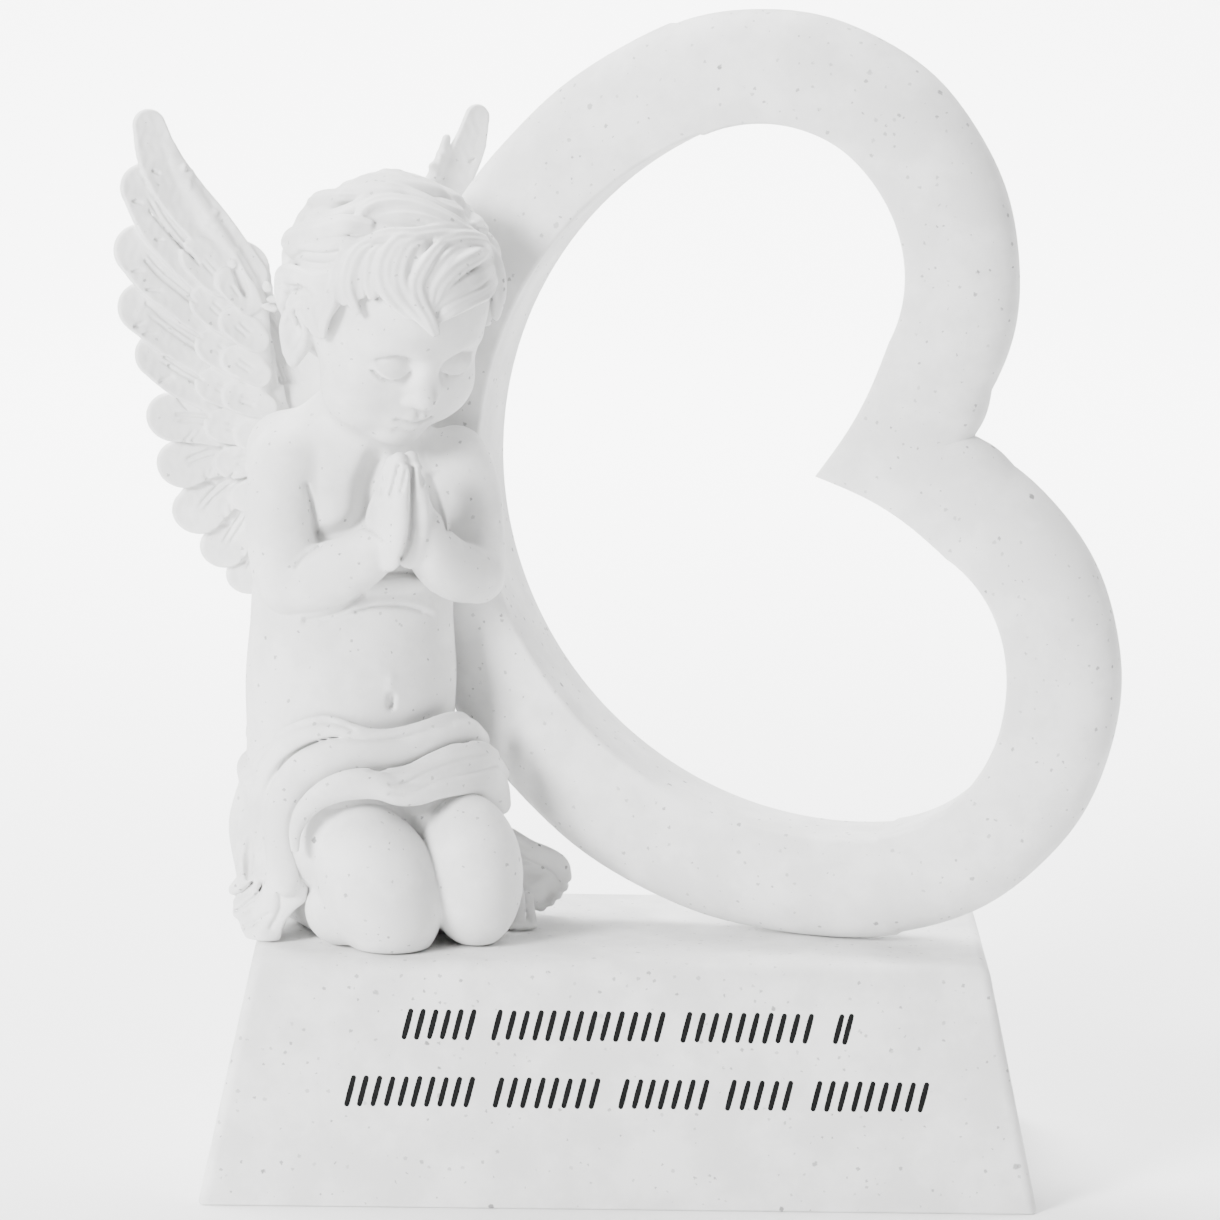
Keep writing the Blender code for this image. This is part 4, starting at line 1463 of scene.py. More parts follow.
@dataclass
class CherubFigure:
    """Skin of the kneeling cherub: torso, arms, praying hands, legs, neck, face and ears."""

    ring: HeartRing
    voxel: float = 0.36
    hands_turn: float = math.radians(38.0)
    hands_middle: tuple[float, float, float] = (-36.8, -19.4, 0.0)

    def torso(self, clay: Clay) -> None:
        """Model the trunk, with its soft rolls, creases and navel.

        Args:
            clay: The figure's clay.
        """
        b, axes = BODY.at, BODY.axes()
        trunk = ((-0.6, 0.6, 62, 17.9), (-0.6, 0.6, 74, 17.8), (-0.7, 0.6, 83, 17.9),
                 (-0.5, 0.5, 91, 17.4), (-0.3, -0.2, 98, 16.8), (0.0, -2.2, 104.6, 14.0),
                 (0.4, -3.4, 110, 12.4), (0.6, -3.6, 116, 10.6))
        clay.rope([b(*row[:3]) for row in trunk], [row[3] for row in trunk], 2.0,
                  flat=[axes[1]] * len(trunk), squash=0.75)
        clay.ball(b(0, -5, 114), (11.0, 7.6, 17.0), 4.0, axes)
        clay.rope([b(-12.6, 0.0, 119.0), b(-6, -1.4, 122.5), b(1, -1.0, 123.0), b(7, 0.5, 121.5),
                   b(13.6, 2.0, 117.6)], [5.8, 6.0, 6.0, 5.6, 5.2], 3.0)
        clay.ball(b(-10.6, -6.0, 120.0), (6.0, 6.4, 7.0), 3.0, axes)
        clay.rope([b(0.6, -1, 118), b(1.6, 1.6, 127), b(2.4, 5, 136)], [8.8, 8.2, 8.4], 4.0)
        clay.ball(b(-4.6, 2.6, 114.0), (6.4, 5.0, 9.0), 3.0, axes)
        clay.ball(b(9.6, 3.4, 114.0), (7.2, 5.4, 10.0), 2.6, axes)
        clay.ball(b(0.4, 3.0, 104.4), (12.6, 8.2, 3.2), 0.7, axes)
        clay.ball(b(0.2, 3.4, 100.4), (14.2, 10.6, 4.2), 0.7, axes)
        clay.ball(b(0.4, 3.4, 84), (13.0, 11.0, 10.0), 5.0, axes)
        arch = ((-49.6, 95.0), (-46.6, 96.0), (-44.2, 97.0), (-40.8, 97.9), (-37.0, 98.0),
                (-33.6, 97.2), (-31.0, 96.2), (-29.0, 95.2))
        clay.draw([(x, z + 0.8) for x, z in arch[2:7]], 0.7, -0.22)
        clay.draw(arch, 0.3, 0.35)
        clay.draw(arch[2:6], 0.3, 0.6)
        shade = ((-41.4, 122.4), (-43.0, 118.0), (-43.4, 113.6), (-45.4, 110.8), (-48.0, 109.6),
                 (-50.8, 109.4))
        clay.draw(shade, 1.5, 2.6, reach=17.0)
        shade = ((-32.0, 119.6), (-30.9, 115.0), (-30.0, 111.4))
        clay.draw(shade, 0.8, 1.2, reach=17.0)
        fold = ((-42.4, 102.6), (-39.8, 103.3), (-36.6, 103.5), (-33.4, 103.2), (-31.0, 102.2))
        clay.draw(fold, 0.42, 1.3)
        navel = (-38.4, 82.2)
        for width, depth, low, high in ((0.55, 1.3, -0.9, 0.7), (0.9, -0.25, 1.6, 3.6)):
            clay.draw([np.add(navel, (0, low)), np.add(navel, (0.1, high))], width, depth)
        clay.score([b(0, -12.6, 110), b(0, -11.6, 98), b(0.2, -12.2, 84)], 1.8, 0.8)
        for side in (-1, 1):
            clay.score([b(side * 4.4, -12.2, 121), b(side * 7.2, -12.4, 113),
                        b(side * 5.6, -12.2, 107)], 2.0, -0.5)

    def arms(self, clay: Clay) -> None:
        """Model both arms, folded up to the hands, with their creases.

        Args:
            clay: The figure's clay.
        """
        clay.rope([(-56.2, -7.0, 119.0), (-57.1, -10.4, 110.0), (-55.8, -12.0, 102.6)],
                  [5.9, 5.6, 5.8], 1.2)
        clay.rope([(-28.4, -1.6, 119.8), (-25.6, -2.2, 114.6), (-24.8, -3.4, 108.0),
                   (-24.6, -5.6, 102.2)], [5.4, 4.8, 4.7, 4.9], 1.4)
        clay.rope([(-54.8, -12.4, 100.8), (-50.2, -14.0, 101.6), (-46.0, -16.0, 103.6),
                   (-42.4, -17.4, 105.9), (-40.4, -18.0, 108.1)], [5.9, 5.6, 5.1, 4.4, 3.8], 0.3)
        clay.rope([(-24.6, -7.4, 101.2), (-28.4, -11.4, 102.7), (-31.6, -15.4, 106.4),
                   (-33.2, -17.2, 110.0)], [4.8, 5.0, 4.5, 3.8], 0.3)
        for line, width, depth in (
                (((-52.6, 118.0), (-51.8, 115.0), (-51.1, 112.0), (-50.8, 110.4)), 0.42, 0.9),
                (((-28.7, 120.0), (-29.3, 117.6), (-29.5, 114.4), (-29.3, 111.0)), 0.42, 1.2),
                (((-53.8, 104.4), (-52.2, 106.2), (-50.2, 107.7)), 0.4, 0.7),
                (((-52.6, 95.4), (-49.0, 96.2), (-45.8, 97.7), (-43.0, 100.0)), 0.38, 0.8),
                (((-31.6, 99.8), (-28.6, 98.2), (-25.0, 97.4)), 0.38, 0.7)):
            clay.draw(line, width, depth)

    def hands(self, clay: Clay) -> None:
        """Model the praying hands: palms pressed together, fingers up.

        Args:
            clay: The figure's clay.
        """
        c, s = math.cos(self.hands_turn), math.sin(self.hands_turn)
        lateral, forward = np.array([c, s, 0.0]), np.array([s, -c, 0.0])

        def h(side: int, out: float, fore: float, height: float) -> Array:
            """Return a place on one hand, measured out from the pressed palms."""
            return self.hands_middle + lateral * side * out + forward * fore + (0.0, 0.0, height)

        for side in (-1, 1):
            blade = ((2.2, -0.8, 107.6, 3.8), (2.2, -0.2, 110.6, 4.4), (2.0, 0.0, 114.0, 4.4),
                     (1.7, 0.1, 117.4, 3.8), (1.5, 0.2, 119.6, 3.1))
            clay.rope([h(side, *row[:3]) for row in blade], [row[3] for row in blade], 0.5,
                      flat=[lateral] * 5, squash=0.5)
            if side > 0:
                clay.rope([h(side, 3.6, 0.2, 108.6), h(side, 3.4, 0.6, 112.0),
                           h(side, 2.5, 0.6, 116.0)], [3.2, 2.7, 1.9], 0.8)
            for fore, low, high, size in ((-2.3, 116.2, 119.7, 1.1), (-0.8, 117.0, 121.9, 1.15),
                                          (0.85, 117.2, 122.5, 1.2), (2.4, 116.4, 120.7, 1.1)):
                clay.rope([h(side, 1.5, fore * 1.1, low), h(side, 1.2, fore * 0.95 + 0.2, high)],
                          [size * 1.25, size], 0.55)
            clay.rope([h(side, 2.0, -3.6, 109.0), h(side, 1.8, -4.6, 112.4),
                       h(side, 1.3, -4.2, 115.4)], [1.9, 1.6, 1.2], 0.6)
        for line, width, depth in (
                (((-37.1, 121.2), (-37.8, 118.4), (-38.4, 116.4)), 0.3, 1.0),
                (((-39.2, 120.6), (-39.7, 118.2), (-40.0, 116.8)), 0.3, 0.55),
                (((-36.0, 120.4), (-36.3, 118.4), (-36.7, 117.0)), 0.28, 0.5),
                (((-33.5, 120.4), (-33.2, 118.0)), 0.28, 0.5),
                (((-43.6, 111.3), (-42.2, 110.9), (-40.8, 110.2), (-39.5, 109.0)), 0.3, 0.8),
                (((-34.9, 121.0), (-34.9, 116.2), (-35.0, 111.2), (-35.7, 107.8),
                  (-36.6, 106.0)), 0.3, 1.2)):
            clay.draw(line, width, depth, reach=7.0)

    def legs(self, clay: Clay) -> None:
        """Model the thighs and knees, the calves folded under, and both feet.

        Args:
            clay: The figure's clay.
        """
        b, axes = BODY.at, BODY.axes()

        def leant(degrees: float) -> Array:
            """Return the body's directions with the top tipped to the viewer's left."""
            c, s = math.cos(math.radians(degrees)), math.sin(math.radians(degrees))
            return np.array([axes[0] * c + axes[2] * s, axes[1], axes[2] * c - axes[0] * s])

        clay.rope([b(9, 1, 63), b(13.6, 10.4, 56.8)], [11.0, 8.2], 1.0)
        clay.ball((-24.9, -13.4, 52.5), (8.5, 8.8, 13.1), 0.8, leant(7.0))
        clay.rope([b(13.4, 6.0, 47.0), b(18.0, -1.0, 47.0), b(22.0, -2.6, 47.6)],
                  [8.0, 7.0, 5.0], 0.9)
        clay.rope([b(-6, 1, 64), b(-5.0, 9.0, 58)], [12.0, 10.4], 0.3)
        clay.ball((-46.8, -13.6, 57.0), (6.6, 7.6, 7.4), 0.6)
        clay.ball((-40.2, -17.6, 51.1), (9.9, 9.8, 14.4), 0.25, leant(25.0))
        clay.ball((-46.2, -14.4, 46.2), (6.2, 8.0, 6.2), 0.9)
        clay.ball((-34.0, -19.0, 62.4), (1.5, 5.0, 1.9), 0.5, act=Act.CARVE)
        clay.rope([(-45.6, -12.4, 45.8), b(-4.4, -3.0, 46.2), b(-7.0, -14.0, 45.2),
                   b(-7.2, -20.0, 44.6)], [6.3, 6.8, 5.0, 4.2], 0.4)
        clay.rope([b(-7.2, -19.0, 44.4), b(-6.4, -23.4, 44.0), b(-5.8, -27.0, 43.4)],
                  [4.6, 4.0, 3.2], 1.0)
        for toe in range(5):
            clay.ball(b(-9.2 + toe * 1.7, -28.6 + 0.5 * abs(toe - 1.6), 42.8),
                      (1.15, 1.6, 1.5), 0.4, axes)
        self.right_foot(clay)

    def right_foot(self, clay: Clay) -> None:
        """Model the foot that shows at the viewer's right, and the glue that ran beside it.

        Args:
            clay: The figure's clay.
        """
        clay.rope([(-19.0, 6.8, 47.4), (-14.8, 6.6, 47.2), (-12.2, 6.4, 46.8)], [5.4, 4.4, 3.4],
                  0.6)
        clay.rope([(-18.8, 2.6, 54.6), (-15.6, 2.8, 52.6), (-12.6, 3.2, 51.3), (-10.4, 3.4, 49.8),
                   (-9.4, 3.6, 47.8)], [1.7, 1.7, 1.7, 1.7, 1.25], 0.4)
        for x, y, z in ((-9.8, 4.4, 46.0), (-10.8, 4.6, 44.6), (-12.0, 4.8, 43.4),
                        (-13.4, 4.8, 42.5)):
            clay.rope([(x - 1.8, y + 1.2, z + 0.6), (x, y, z)], [1.2, 1.15], 0.2)
        clay.ball((-16.0, 3.8, 44.6), (3.4, 2.6, 2.8), 0.7)
        clay.ball((-15.0, 1.6, 48.4), (3.0, 1.8, 1.5), 0.5, act=Act.CARVE)
        clay.rope([(-17.2, -1.4, 47.4), (-16.8, -1.8, 44.4), (-17.2, -2.4, 41.2)],
                  [0.8, 0.9, 1.1], 0.6)
        clay.rope([(-15.6, 0.4, 45.0), (-15.0, -1.2, 42.6), (-14.9, -1.8, 40.8)], [0.9, 0.8, 1.0],
                  0.6)
        clay.ball((-17.0, -2.8, 40.5), (3.2, 1.9, 0.9), 0.5)

    def face(self, clay: Clay) -> None:
        """Model a calm generic toddler's head and face with closed eyes.

        Args:
            clay: The figure's clay.
        """
        h, axes = HEAD.at, HEAD.axes()

        def press(line: Sequence[Array], width: float, depth: float) -> None:
            """Press a groove into the face along a line near its skin."""
            clay.trace(line, width, depth, axes[1], reach=3.0)

        clay.ball(h(0, -1.0, 1.0), (15.0, 16.6, 15.0), 2.0, axes)
        clay.ball(h(0, 4.6, -4.6), (13.4, 11.8, 13.4), 4.0, axes)
        clay.ball(h(0, 6.2, 3.4), (11.6, 9.6, 9.0), 4.0, axes)
        clay.ball(h(0, 7.0, -13.4), (10.8, 8.2, 8.4), 4.0, axes)
        clay.ball(h(0, 4.0, -18.0), (8.6, 6.0, 4.6), 2.6, axes)
        for side in (-1, 1):
            clay.ball(h(side * 7.2, 8.6, -12.0), (6.2, 5.6, 6.2), 3.0, axes)
            clay.ball(h(side * 5.7, 16.0, -5.2), (3.9, 3.4, 2.7), 2.2, axes, act=Act.CARVE)
            clay.ball(h(side * 5.7, 12.9, -5.6), (3.5, 2.5, 2.6), 1.2, axes)
            lid = [h(side * 2.7, 14.1, -6.0), h(side * 4.2, 15.1, -7.0), h(side * 5.9, 15.2, -7.4),
                   h(side * 7.5, 14.4, -7.0), h(side * 8.9, 13.0, -6.0)]
            press(lid, 0.32, 0.8)
            press([p + axes[2] * 0.8 for p in lid], 0.4, -0.25)
            press([h(side * 3.0, 14.4, -3.8), h(side * 5.6, 15.0, -2.9),
                   h(side * 8.6, 13.4, -3.8)], 0.45, 0.4)
            clay.score([h(side * 2.6, 15.6, -1.0), h(side * 5.8, 15.4, 0.2),
                        h(side * 9.8, 13.0, -1.2)], 1.5, -0.45)
            self.ear(clay, side)
        clay.rope([h(0, 14.2, -4.2), h(0, 15.2, -7.4), h(0, 16.6, -9.6)], [1.5, 1.4, 1.7], 2.6)
        clay.ball(h(0, 16.9, -10.1), (2.0, 1.8, 1.6), 0.9, axes)
        for side in (-1, 1):
            clay.ball(h(side * 1.9, 15.7, -10.6), (1.25, 1.4, 1.1), 0.7, axes)
            clay.ball(h(side * 0.95, 16.4, -11.8), (0.5, 0.6, 0.4), 0.4, axes, act=Act.CARVE)
        clay.ball(h(0, 12.6, -14.8), (4.4, 3.2, 3.4), 2.4, axes)
        clay.rope([h(-3.0, 14.2, -14.4), h(-1.1, 15.6, -13.8), h(0, 15.5, -14.1),
                   h(1.1, 15.6, -13.8), h(3.0, 14.2, -14.4)], [0.5, 1.0, 0.9, 1.0, 0.5], 0.5)
        clay.rope([h(-2.2, 14.2, -15.6), h(0, 15.2, -16.1), h(2.2, 14.2, -15.6)],
                  [0.5, 1.2, 0.5], 0.7)
        press([h(-3.4, 14.6, -14.7), h(-1.4, 15.8, -14.9), h(0, 16.0, -15.15),
               h(1.4, 15.8, -14.9), h(3.4, 14.6, -14.7)], 0.3, 0.7)
        press([h(0, 16.0, -12.1), h(0, 15.8, -13.2)], 0.5, 0.35)
        press([h(-2.2, 14.6, -17.3), h(0, 15.0, -17.6), h(2.2, 14.6, -17.3)], 0.8, 0.5)
        clay.ball(h(0, 11.0, -18.8), (4.4, 3.8, 3.2), 2.0, axes)

    def ear(self, clay: Clay, side: int) -> None:
        """Model one ear: its rim, hollow and lobe.

        Args:
            clay: The figure's clay.
            side: 1 for the ear at the viewer's right, -1 for the other.
        """
        h, axes = HEAD.at, HEAD.axes()
        x = side * 14.6
        clay.ball(h(x, -1.2, -8.0), (2.0, 3.0, 4.8), 0.8, axes)
        clay.ball(h(x + side * 1.9, -0.6, -7.4), (1.5, 1.7, 3.0), 0.5, axes, act=Act.CARVE)
        rim = ((0.6, 1.4, -6.0), (1.2, 0.8, -4.0), (1.6, -1.2, -3.4), (1.9, -3.2, -5.2),
               (1.8, -3.4, -8.4), (1.2, -1.6, -11.6))
        clay.rope([h(x + side * out, fore, up) for out, fore, up in rim],
                  [0.6, 0.8, 0.85, 0.85, 0.8, 0.9], 0.4)
        clay.ball(h(x + side * 0.6, -0.4, -12.0), (1.2, 1.6, 1.6), 0.6, axes)
        clay.ball(h(x + side * 0.6, 1.4, -8.2), (0.8, 0.8, 1.1), 0.4, axes)

    def build(self, stone: bpy.types.Material) -> None:
        """Make the figure.

        Args:
            stone: Its finish.
        """
        clay = Clay("cherub_figure", self.voxel)
        self.torso(clay)
        self.legs(clay)
        self.arms(clay)
        self.hands(clay)
        self.face(clay)
        ring_clearance(clay, self.ring)
        base_clearance(clay)
        place_piece(clay.mesh(), stone, ["cherub"])


@dataclass
class CherubHair:
    """Short tousled curls swept from the viewer's right to the left, with a heavy fringe.

    The locks lie over an oval form on the head. The drop is how far the line of sight sinks on
    its way to that form. The root, the start of the taper and the start of the tip are shares
    of a lock's length, and the widths of root and tip are shares of its own. The hairline is
    given by its place forward and up on the brow, and by the slope of the cut there. A row of
    curls has its rise in degrees, its number of curls and their half width.
    """

    ring: HeartRing
    voxel: float = 0.28
    semi: tuple[float, float, float] = (18.4, 19.6, 18.9)
    depth: float = 1.5
    drop: float = 3.6
    strands: float = 2.0
    groove: float = 0.24
    thick: float = 0.66
    tip: float = 0.58
    root: float = 0.3
    root_width: float = 0.6
    root_sink: float = 1.6
    taper_start: float = 0.55
    tip_start: float = 0.75
    tip_sink: float = 0.7
    least: float = 0.35
    blend: float = 0.8
    curl_rows: tuple[tuple[float, int, float], ...] = (
        (-30, 8, 2.2), (-14, 10, 2.4), (2, 11, 2.5), (18, 11, 2.6), (34, 10, 2.6), (50, 8, 2.5),
        (66, 5, 2.4))
    curl_start: float = 96.0
    curl_span: float = 150.0
    curl_swing: float = 11.0
    hairline: tuple[float, float] = (14.5, 9.4)
    hairline_slope: tuple[float, float] = (0.515, 0.857)
    ear_line: float = -3.0
    room: float = 22.0
    seed: int = 19

    def over(self, azimuth: float, rise: float) -> tuple[Array, Array]:
        """Find a place on the hair's outer form by its angles.

        Args:
            azimuth: Degrees round from the forehead towards the viewer's right.
            rise: Degrees above the ears' level.

        Returns:
            The place and the outward direction.
        """
        a, r = math.radians(azimuth), math.radians(rise)
        ray = np.array([math.sin(a) * math.cos(r), math.cos(a) * math.cos(r), math.sin(r)])
        out = unit(ray / np.array(self.semi))
        return HEAD.at(*(ray * self.semi)), unit(out @ HEAD.axes())

    def seen(self, across: float, height: float) -> tuple[Array, Array]:
        """Find the place on the hair's outer form that shows at a place seen from the front.

        Args:
            across: Place across the view.
            height: Height in the view.

        Returns:
            The place and the outward direction.
        """
        axes, semi = HEAD.axes(), np.array(self.semi)
        start = axes @ (np.array([across, 0.0, height - self.drop]) - HEAD.centre) / semi
        run = axes @ SIGHT / semi
        a, b, c = float(run @ run), 2.0 * float(start @ run), float(start @ start) - 1.0
        y = (-b - math.sqrt(max(b * b - 4.0 * a * c, 0.0))) / (2.0 * a)
        ray = unit(start + run * y)
        return HEAD.at(*(ray * semi)), unit((ray / semi) @ axes)

    def strand(self, clay: Clay, spots: Sequence[tuple[Array, Array]], width: float,
               proud: float) -> None:
        """Lay one lock of hair over places on the outer form.

        Args:
            clay: The hair's clay.
            spots: Places that it passes over, with the outward directions there.
            width: Half width at its fullest.
            proud: Height of its back above the hair's outer form.
        """
        places, radii = [], []
        for i, (place, out) in enumerate(spots):
            t = i / (len(spots) - 1)
            taper = self.root_width + (1.0 - self.root_width) * min(1.0, t / self.root)
            if t > self.taper_start:
                share = (t - self.taper_start) / (1.0 - self.taper_start)
                taper = 1.0 - (1.0 - self.tip) * share ** 1.8
            root = max(0.0, 1.0 - t / self.root)
            end = max(0.0, (t - self.tip_start) / (1.0 - self.tip_start))
            places.append(place + out * (proud - width * self.thick * taper
                                         - self.root_sink * root ** 2 - self.tip_sink * end ** 2))
            radii.append(max(self.least, width * taper))
        clay.rope(places, radii, self.blend, flat=[out for _, out in spots], squash=self.thick,
                  strands=self.strands, groove=self.groove, steps=5)

    def front_locks(self) -> tuple[tuple[tuple[tuple[float, float], ...], float, float], ...]:
        """Return the locks that show from the front: places across and up, half width, height."""
        return (
            (((-29.8, 168.4), (-34.7, 170.0), (-39.5, 170.4), (-43.4, 169.4), (-45.2, 167.6)),
             1.5, 0.6),
            (((-26.0, 164.4), (-30.3, 167.4), (-36.6, 169.0), (-41.9, 168.6), (-44.6, 167.2),
              (-47.4, 165.4), (-50.6, 164.6)), 1.6, 0.4),
            (((-25.4, 162.4), (-30.8, 164.6), (-34.7, 166.0), (-38.2, 166.6), (-41.4, 165.4),
              (-46.7, 163.0), (-51.4, 161.8), (-53.6, 161.2)), 1.6, 0.3),
            (((-24.0, 159.4), (-30.0, 161.6), (-36.0, 163.0), (-42.4, 162.6)), 1.6, 0.1),
            (((-43.0, 160.4), (-46.6, 160.0), (-50.4, 159.2), (-54.0, 158.4)), 1.4, 0.6),
            (((-43.8, 160.3), (-46.2, 160.1), (-48.8, 159.7)), 1.4, 1.0),
            (((-44.0, 165.8), (-47.6, 165.0), (-50.8, 164.8), (-52.4, 165.0)), 1.6, 1.6),
            (((-22.6, 158.9), (-27.4, 161.2), (-32.2, 163.4), (-36.6, 164.6), (-40.5, 164.4),
              (-43.0, 163.2), (-44.4, 161.6)), 1.5, 0.7),
            (((-42.6, 161.0), (-46.0, 160.8), (-50.0, 160.0), (-53.6, 159.4), (-55.6, 158.6),
              (-55.8, 157.4)), 1.7, 1.3),
            (((-43.0, 158.2), (-46.6, 157.6), (-50.0, 157.2), (-53.4, 157.6), (-55.4, 157.0)),
             1.3, 0.3),
            (((-21.6, 157.4), (-25.0, 159.6), (-29.8, 160.0), (-34.7, 159.2), (-39.5, 159.0),
              (-43.0, 158.0)), 1.5, 0.2),
            (((-46.6, 153.0), (-49.4, 149.6), (-51.6, 146.4), (-52.4, 142.6)), 2.9, -0.6),
            (((-51.4, 149.4), (-52.7, 147.2), (-53.2, 144.8)), 1.4, 0.0),
            (((-46.4, 155.6), (-49.6, 153.6), (-52.6, 153.8), (-55.4, 155.0)), 1.0, -0.5),
            (((-47.6, 152.6), (-51.0, 151.2), (-54.4, 152.4), (-57.0, 152.6), (-58.2, 150.0),
              (-57.2, 146.4)), 1.9, 0.7),
            (((-47.4, 151.0), (-50.2, 148.8), (-53.4, 148.8), (-55.6, 147.2), (-55.4, 144.4)),
             1.5, 0.1),
            (((-46.4, 153.4), (-48.0, 150.4), (-48.4, 147.4), (-49.5, 144.8), (-50.3, 141.8)),
             1.2, -0.1),
            (((-50.0, 149.4), (-51.8, 147.0), (-51.6, 144.2), (-51.0, 141.6)), 1.0, -0.3),
            (((-52.6, 148.2), (-54.2, 146.2), (-53.4, 143.8)), 0.9, -0.3),
            (((-42.4, 158.4), (-45.6, 156.4), (-47.4, 153.4), (-47.4, 150.2), (-46.6, 147.6)),
             1.5, -0.2),
            (((-41.4, 158.2), (-44.0, 155.8), (-45.4, 152.4), (-45.4, 149.2), (-44.2, 146.0)),
             1.5, 0.4),
            (((-40.0, 158.2), (-42.4, 155.6), (-43.7, 152.2), (-43.5, 148.6)), 1.2, 0.0),
            (((-40.0, 153.4), (-40.8, 151.0), (-40.9, 148.9)), 1.2, -0.3),
            (((-38.6, 158.0), (-41.0, 155.2), (-41.8, 151.8), (-41.7, 148.6)), 1.4, 0.3),
            (((-34.4, 159.0), (-37.6, 157.2), (-39.4, 154.0), (-39.4, 150.6), (-37.8, 147.8),
              (-35.6, 145.6)), 1.8, 0.9),
            (((-33.0, 158.4), (-35.8, 156.2), (-37.1, 152.8), (-36.7, 149.6), (-34.4, 146.2),
              (-31.6, 143.2)), 1.7, 0.9),
            (((-33.0, 159.4), (-34.4, 156.8), (-35.2, 154.0), (-34.9, 151.0)), 1.9, -0.1),
            (((-29.2, 158.8), (-32.2, 155.0), (-34.2, 151.2), (-34.0, 148.2), (-32.4, 145.2),
              (-31.2, 142.8)), 1.5, 1.1),
            (((-25.8, 158.2), (-29.4, 155.0), (-31.6, 151.6), (-32.4, 148.4), (-31.8, 145.4)),
             1.4, 0.4),
            (((-21.8, 158.4), (-24.6, 155.8), (-28.2, 153.2), (-30.6, 150.4), (-31.6, 147.4)),
             1.7, 0.8),
            (((-20.8, 154.6), (-23.8, 152.4), (-26.8, 150.4), (-29.6, 148.6), (-31.4, 146.6)),
             1.6, 0.3),
            (((-20.4, 152.2), (-22.8, 149.8), (-25.8, 148.0), (-28.6, 146.4), (-30.4, 144.8)),
             1.5, 0.5),
            (((-22.6, 157.0), (-25.6, 157.2), (-28.8, 156.2)), 1.4, 0.0),
            (((-20.6, 157.8), (-23.6, 158.6), (-27.0, 158.8), (-30.4, 158.0)), 1.3, 0.5))

    def side_locks(self) -> tuple[tuple[tuple[tuple[float, float], ...], float, float], ...]:
        """Return the locks of the far temple and crown: azimuths and rises, half width, height."""
        return (
            (((110, 51), (130, 60), (160, 66), (190, 62), (206, 52)), 2.6, 0.4),
            (((104, 58), (120, 74), (194, 76), (214, 64), (234, 50)), 2.4, 0.8),
            (((84, 36), (78, 24), (68, 12), (60, 2)), 2.3, 0.3),
            (((96, 34), (88, 18), (78, 4), (70, -8)), 2.3, 0.0),
            (((106, 30), (102, 14), (94, 0), (84, -14)), 2.4, 0.3),
            (((112, 44), (96, 40), (84, 44), (72, 52)), 2.0, 0.4))

    def curls(self, clay: Clay) -> None:
        """Lay the waves of the back and the far side, in rows from the nape up to the crown.

        Args:
            clay: The hair's clay.
        """
        chance = np.random.default_rng(self.seed)
        for row, (rise, count, width) in enumerate(self.curl_rows):
            for i in range(count):
                azimuth = self.curl_start + (i + 0.5 * (row % 2)) * self.curl_span / count \
                    + chance.uniform(-5, 5)
                swing = self.curl_swing * (1 if (i + row) % 3 else -1) \
                    / max(0.35, math.cos(math.radians(rise)))
                stops = ((azimuth, rise + 17), (azimuth + swing * 0.8, rise + 8),
                         (azimuth + swing * 0.5, rise - 2), (azimuth - swing * 0.5, rise - 11))
                self.strand(clay, [self.over(*stop) for stop in stops],
                            width * chance.uniform(0.8, 1.05), chance.uniform(-0.4, 1.0))

    def core(self, clay: Clay) -> None:
        """Lay the cap of hair under the locks, cut away round the face and ears.

        Args:
            clay: The hair's clay.
        """
        axes = HEAD.axes()
        clay.ball(HEAD.centre, np.array(self.semi) - self.depth, 1.0, axes)
        centre = np.array(HEAD.centre)

        def before_hairline(x: Array, y: Array, z: Array) -> Array:
            """Measure the block of the grid against the room in front of the hairline.

            Args:
                x: Places along x.
                y: Places along y.
                z: Places along z.

            Returns:
                The distances.
            """
            ahead, above = (((x - centre[0]) * row[0] + (y - centre[1]) * row[1]
                             + (z - centre[2]) * row[2]) for row in axes[1:])
            brow = (ahead - self.hairline[0]) * self.hairline_slope[0] \
                - (above - self.hairline[1]) * self.hairline_slope[1]
            return np.maximum(-brow, -(ahead - self.ear_line))

        clay.form(centre - self.room, centre + self.room, before_hairline, Act.CARVE, 1.0)

    def build(self, stone: bpy.types.Material) -> None:
        """Make the hair.

        Args:
            stone: Its finish.
        """
        clay = Clay("cherub_hair", self.voxel)
        self.core(clay)
        self.curls(clay)
        for stops, width, proud in self.side_locks():
            self.strand(clay, [self.over(*stop) for stop in stops], width, proud)
        for stops, width, proud in self.front_locks():
            self.strand(clay, [self.seen(*stop) for stop in stops], width, proud)
        for line in (((-54.0, 154.2), (-51.0, 153.2), (-48.2, 153.8)),
                     ((-57.0, 150.8), (-54.8, 149.6), (-52.8, 150.6), (-51.2, 149.2))):
            clay.draw(line, 0.42, 0.4, reach=16.0)
        ring_clearance(clay, self.ring)
        place_piece(clay.mesh(), stone, ["cherub"])


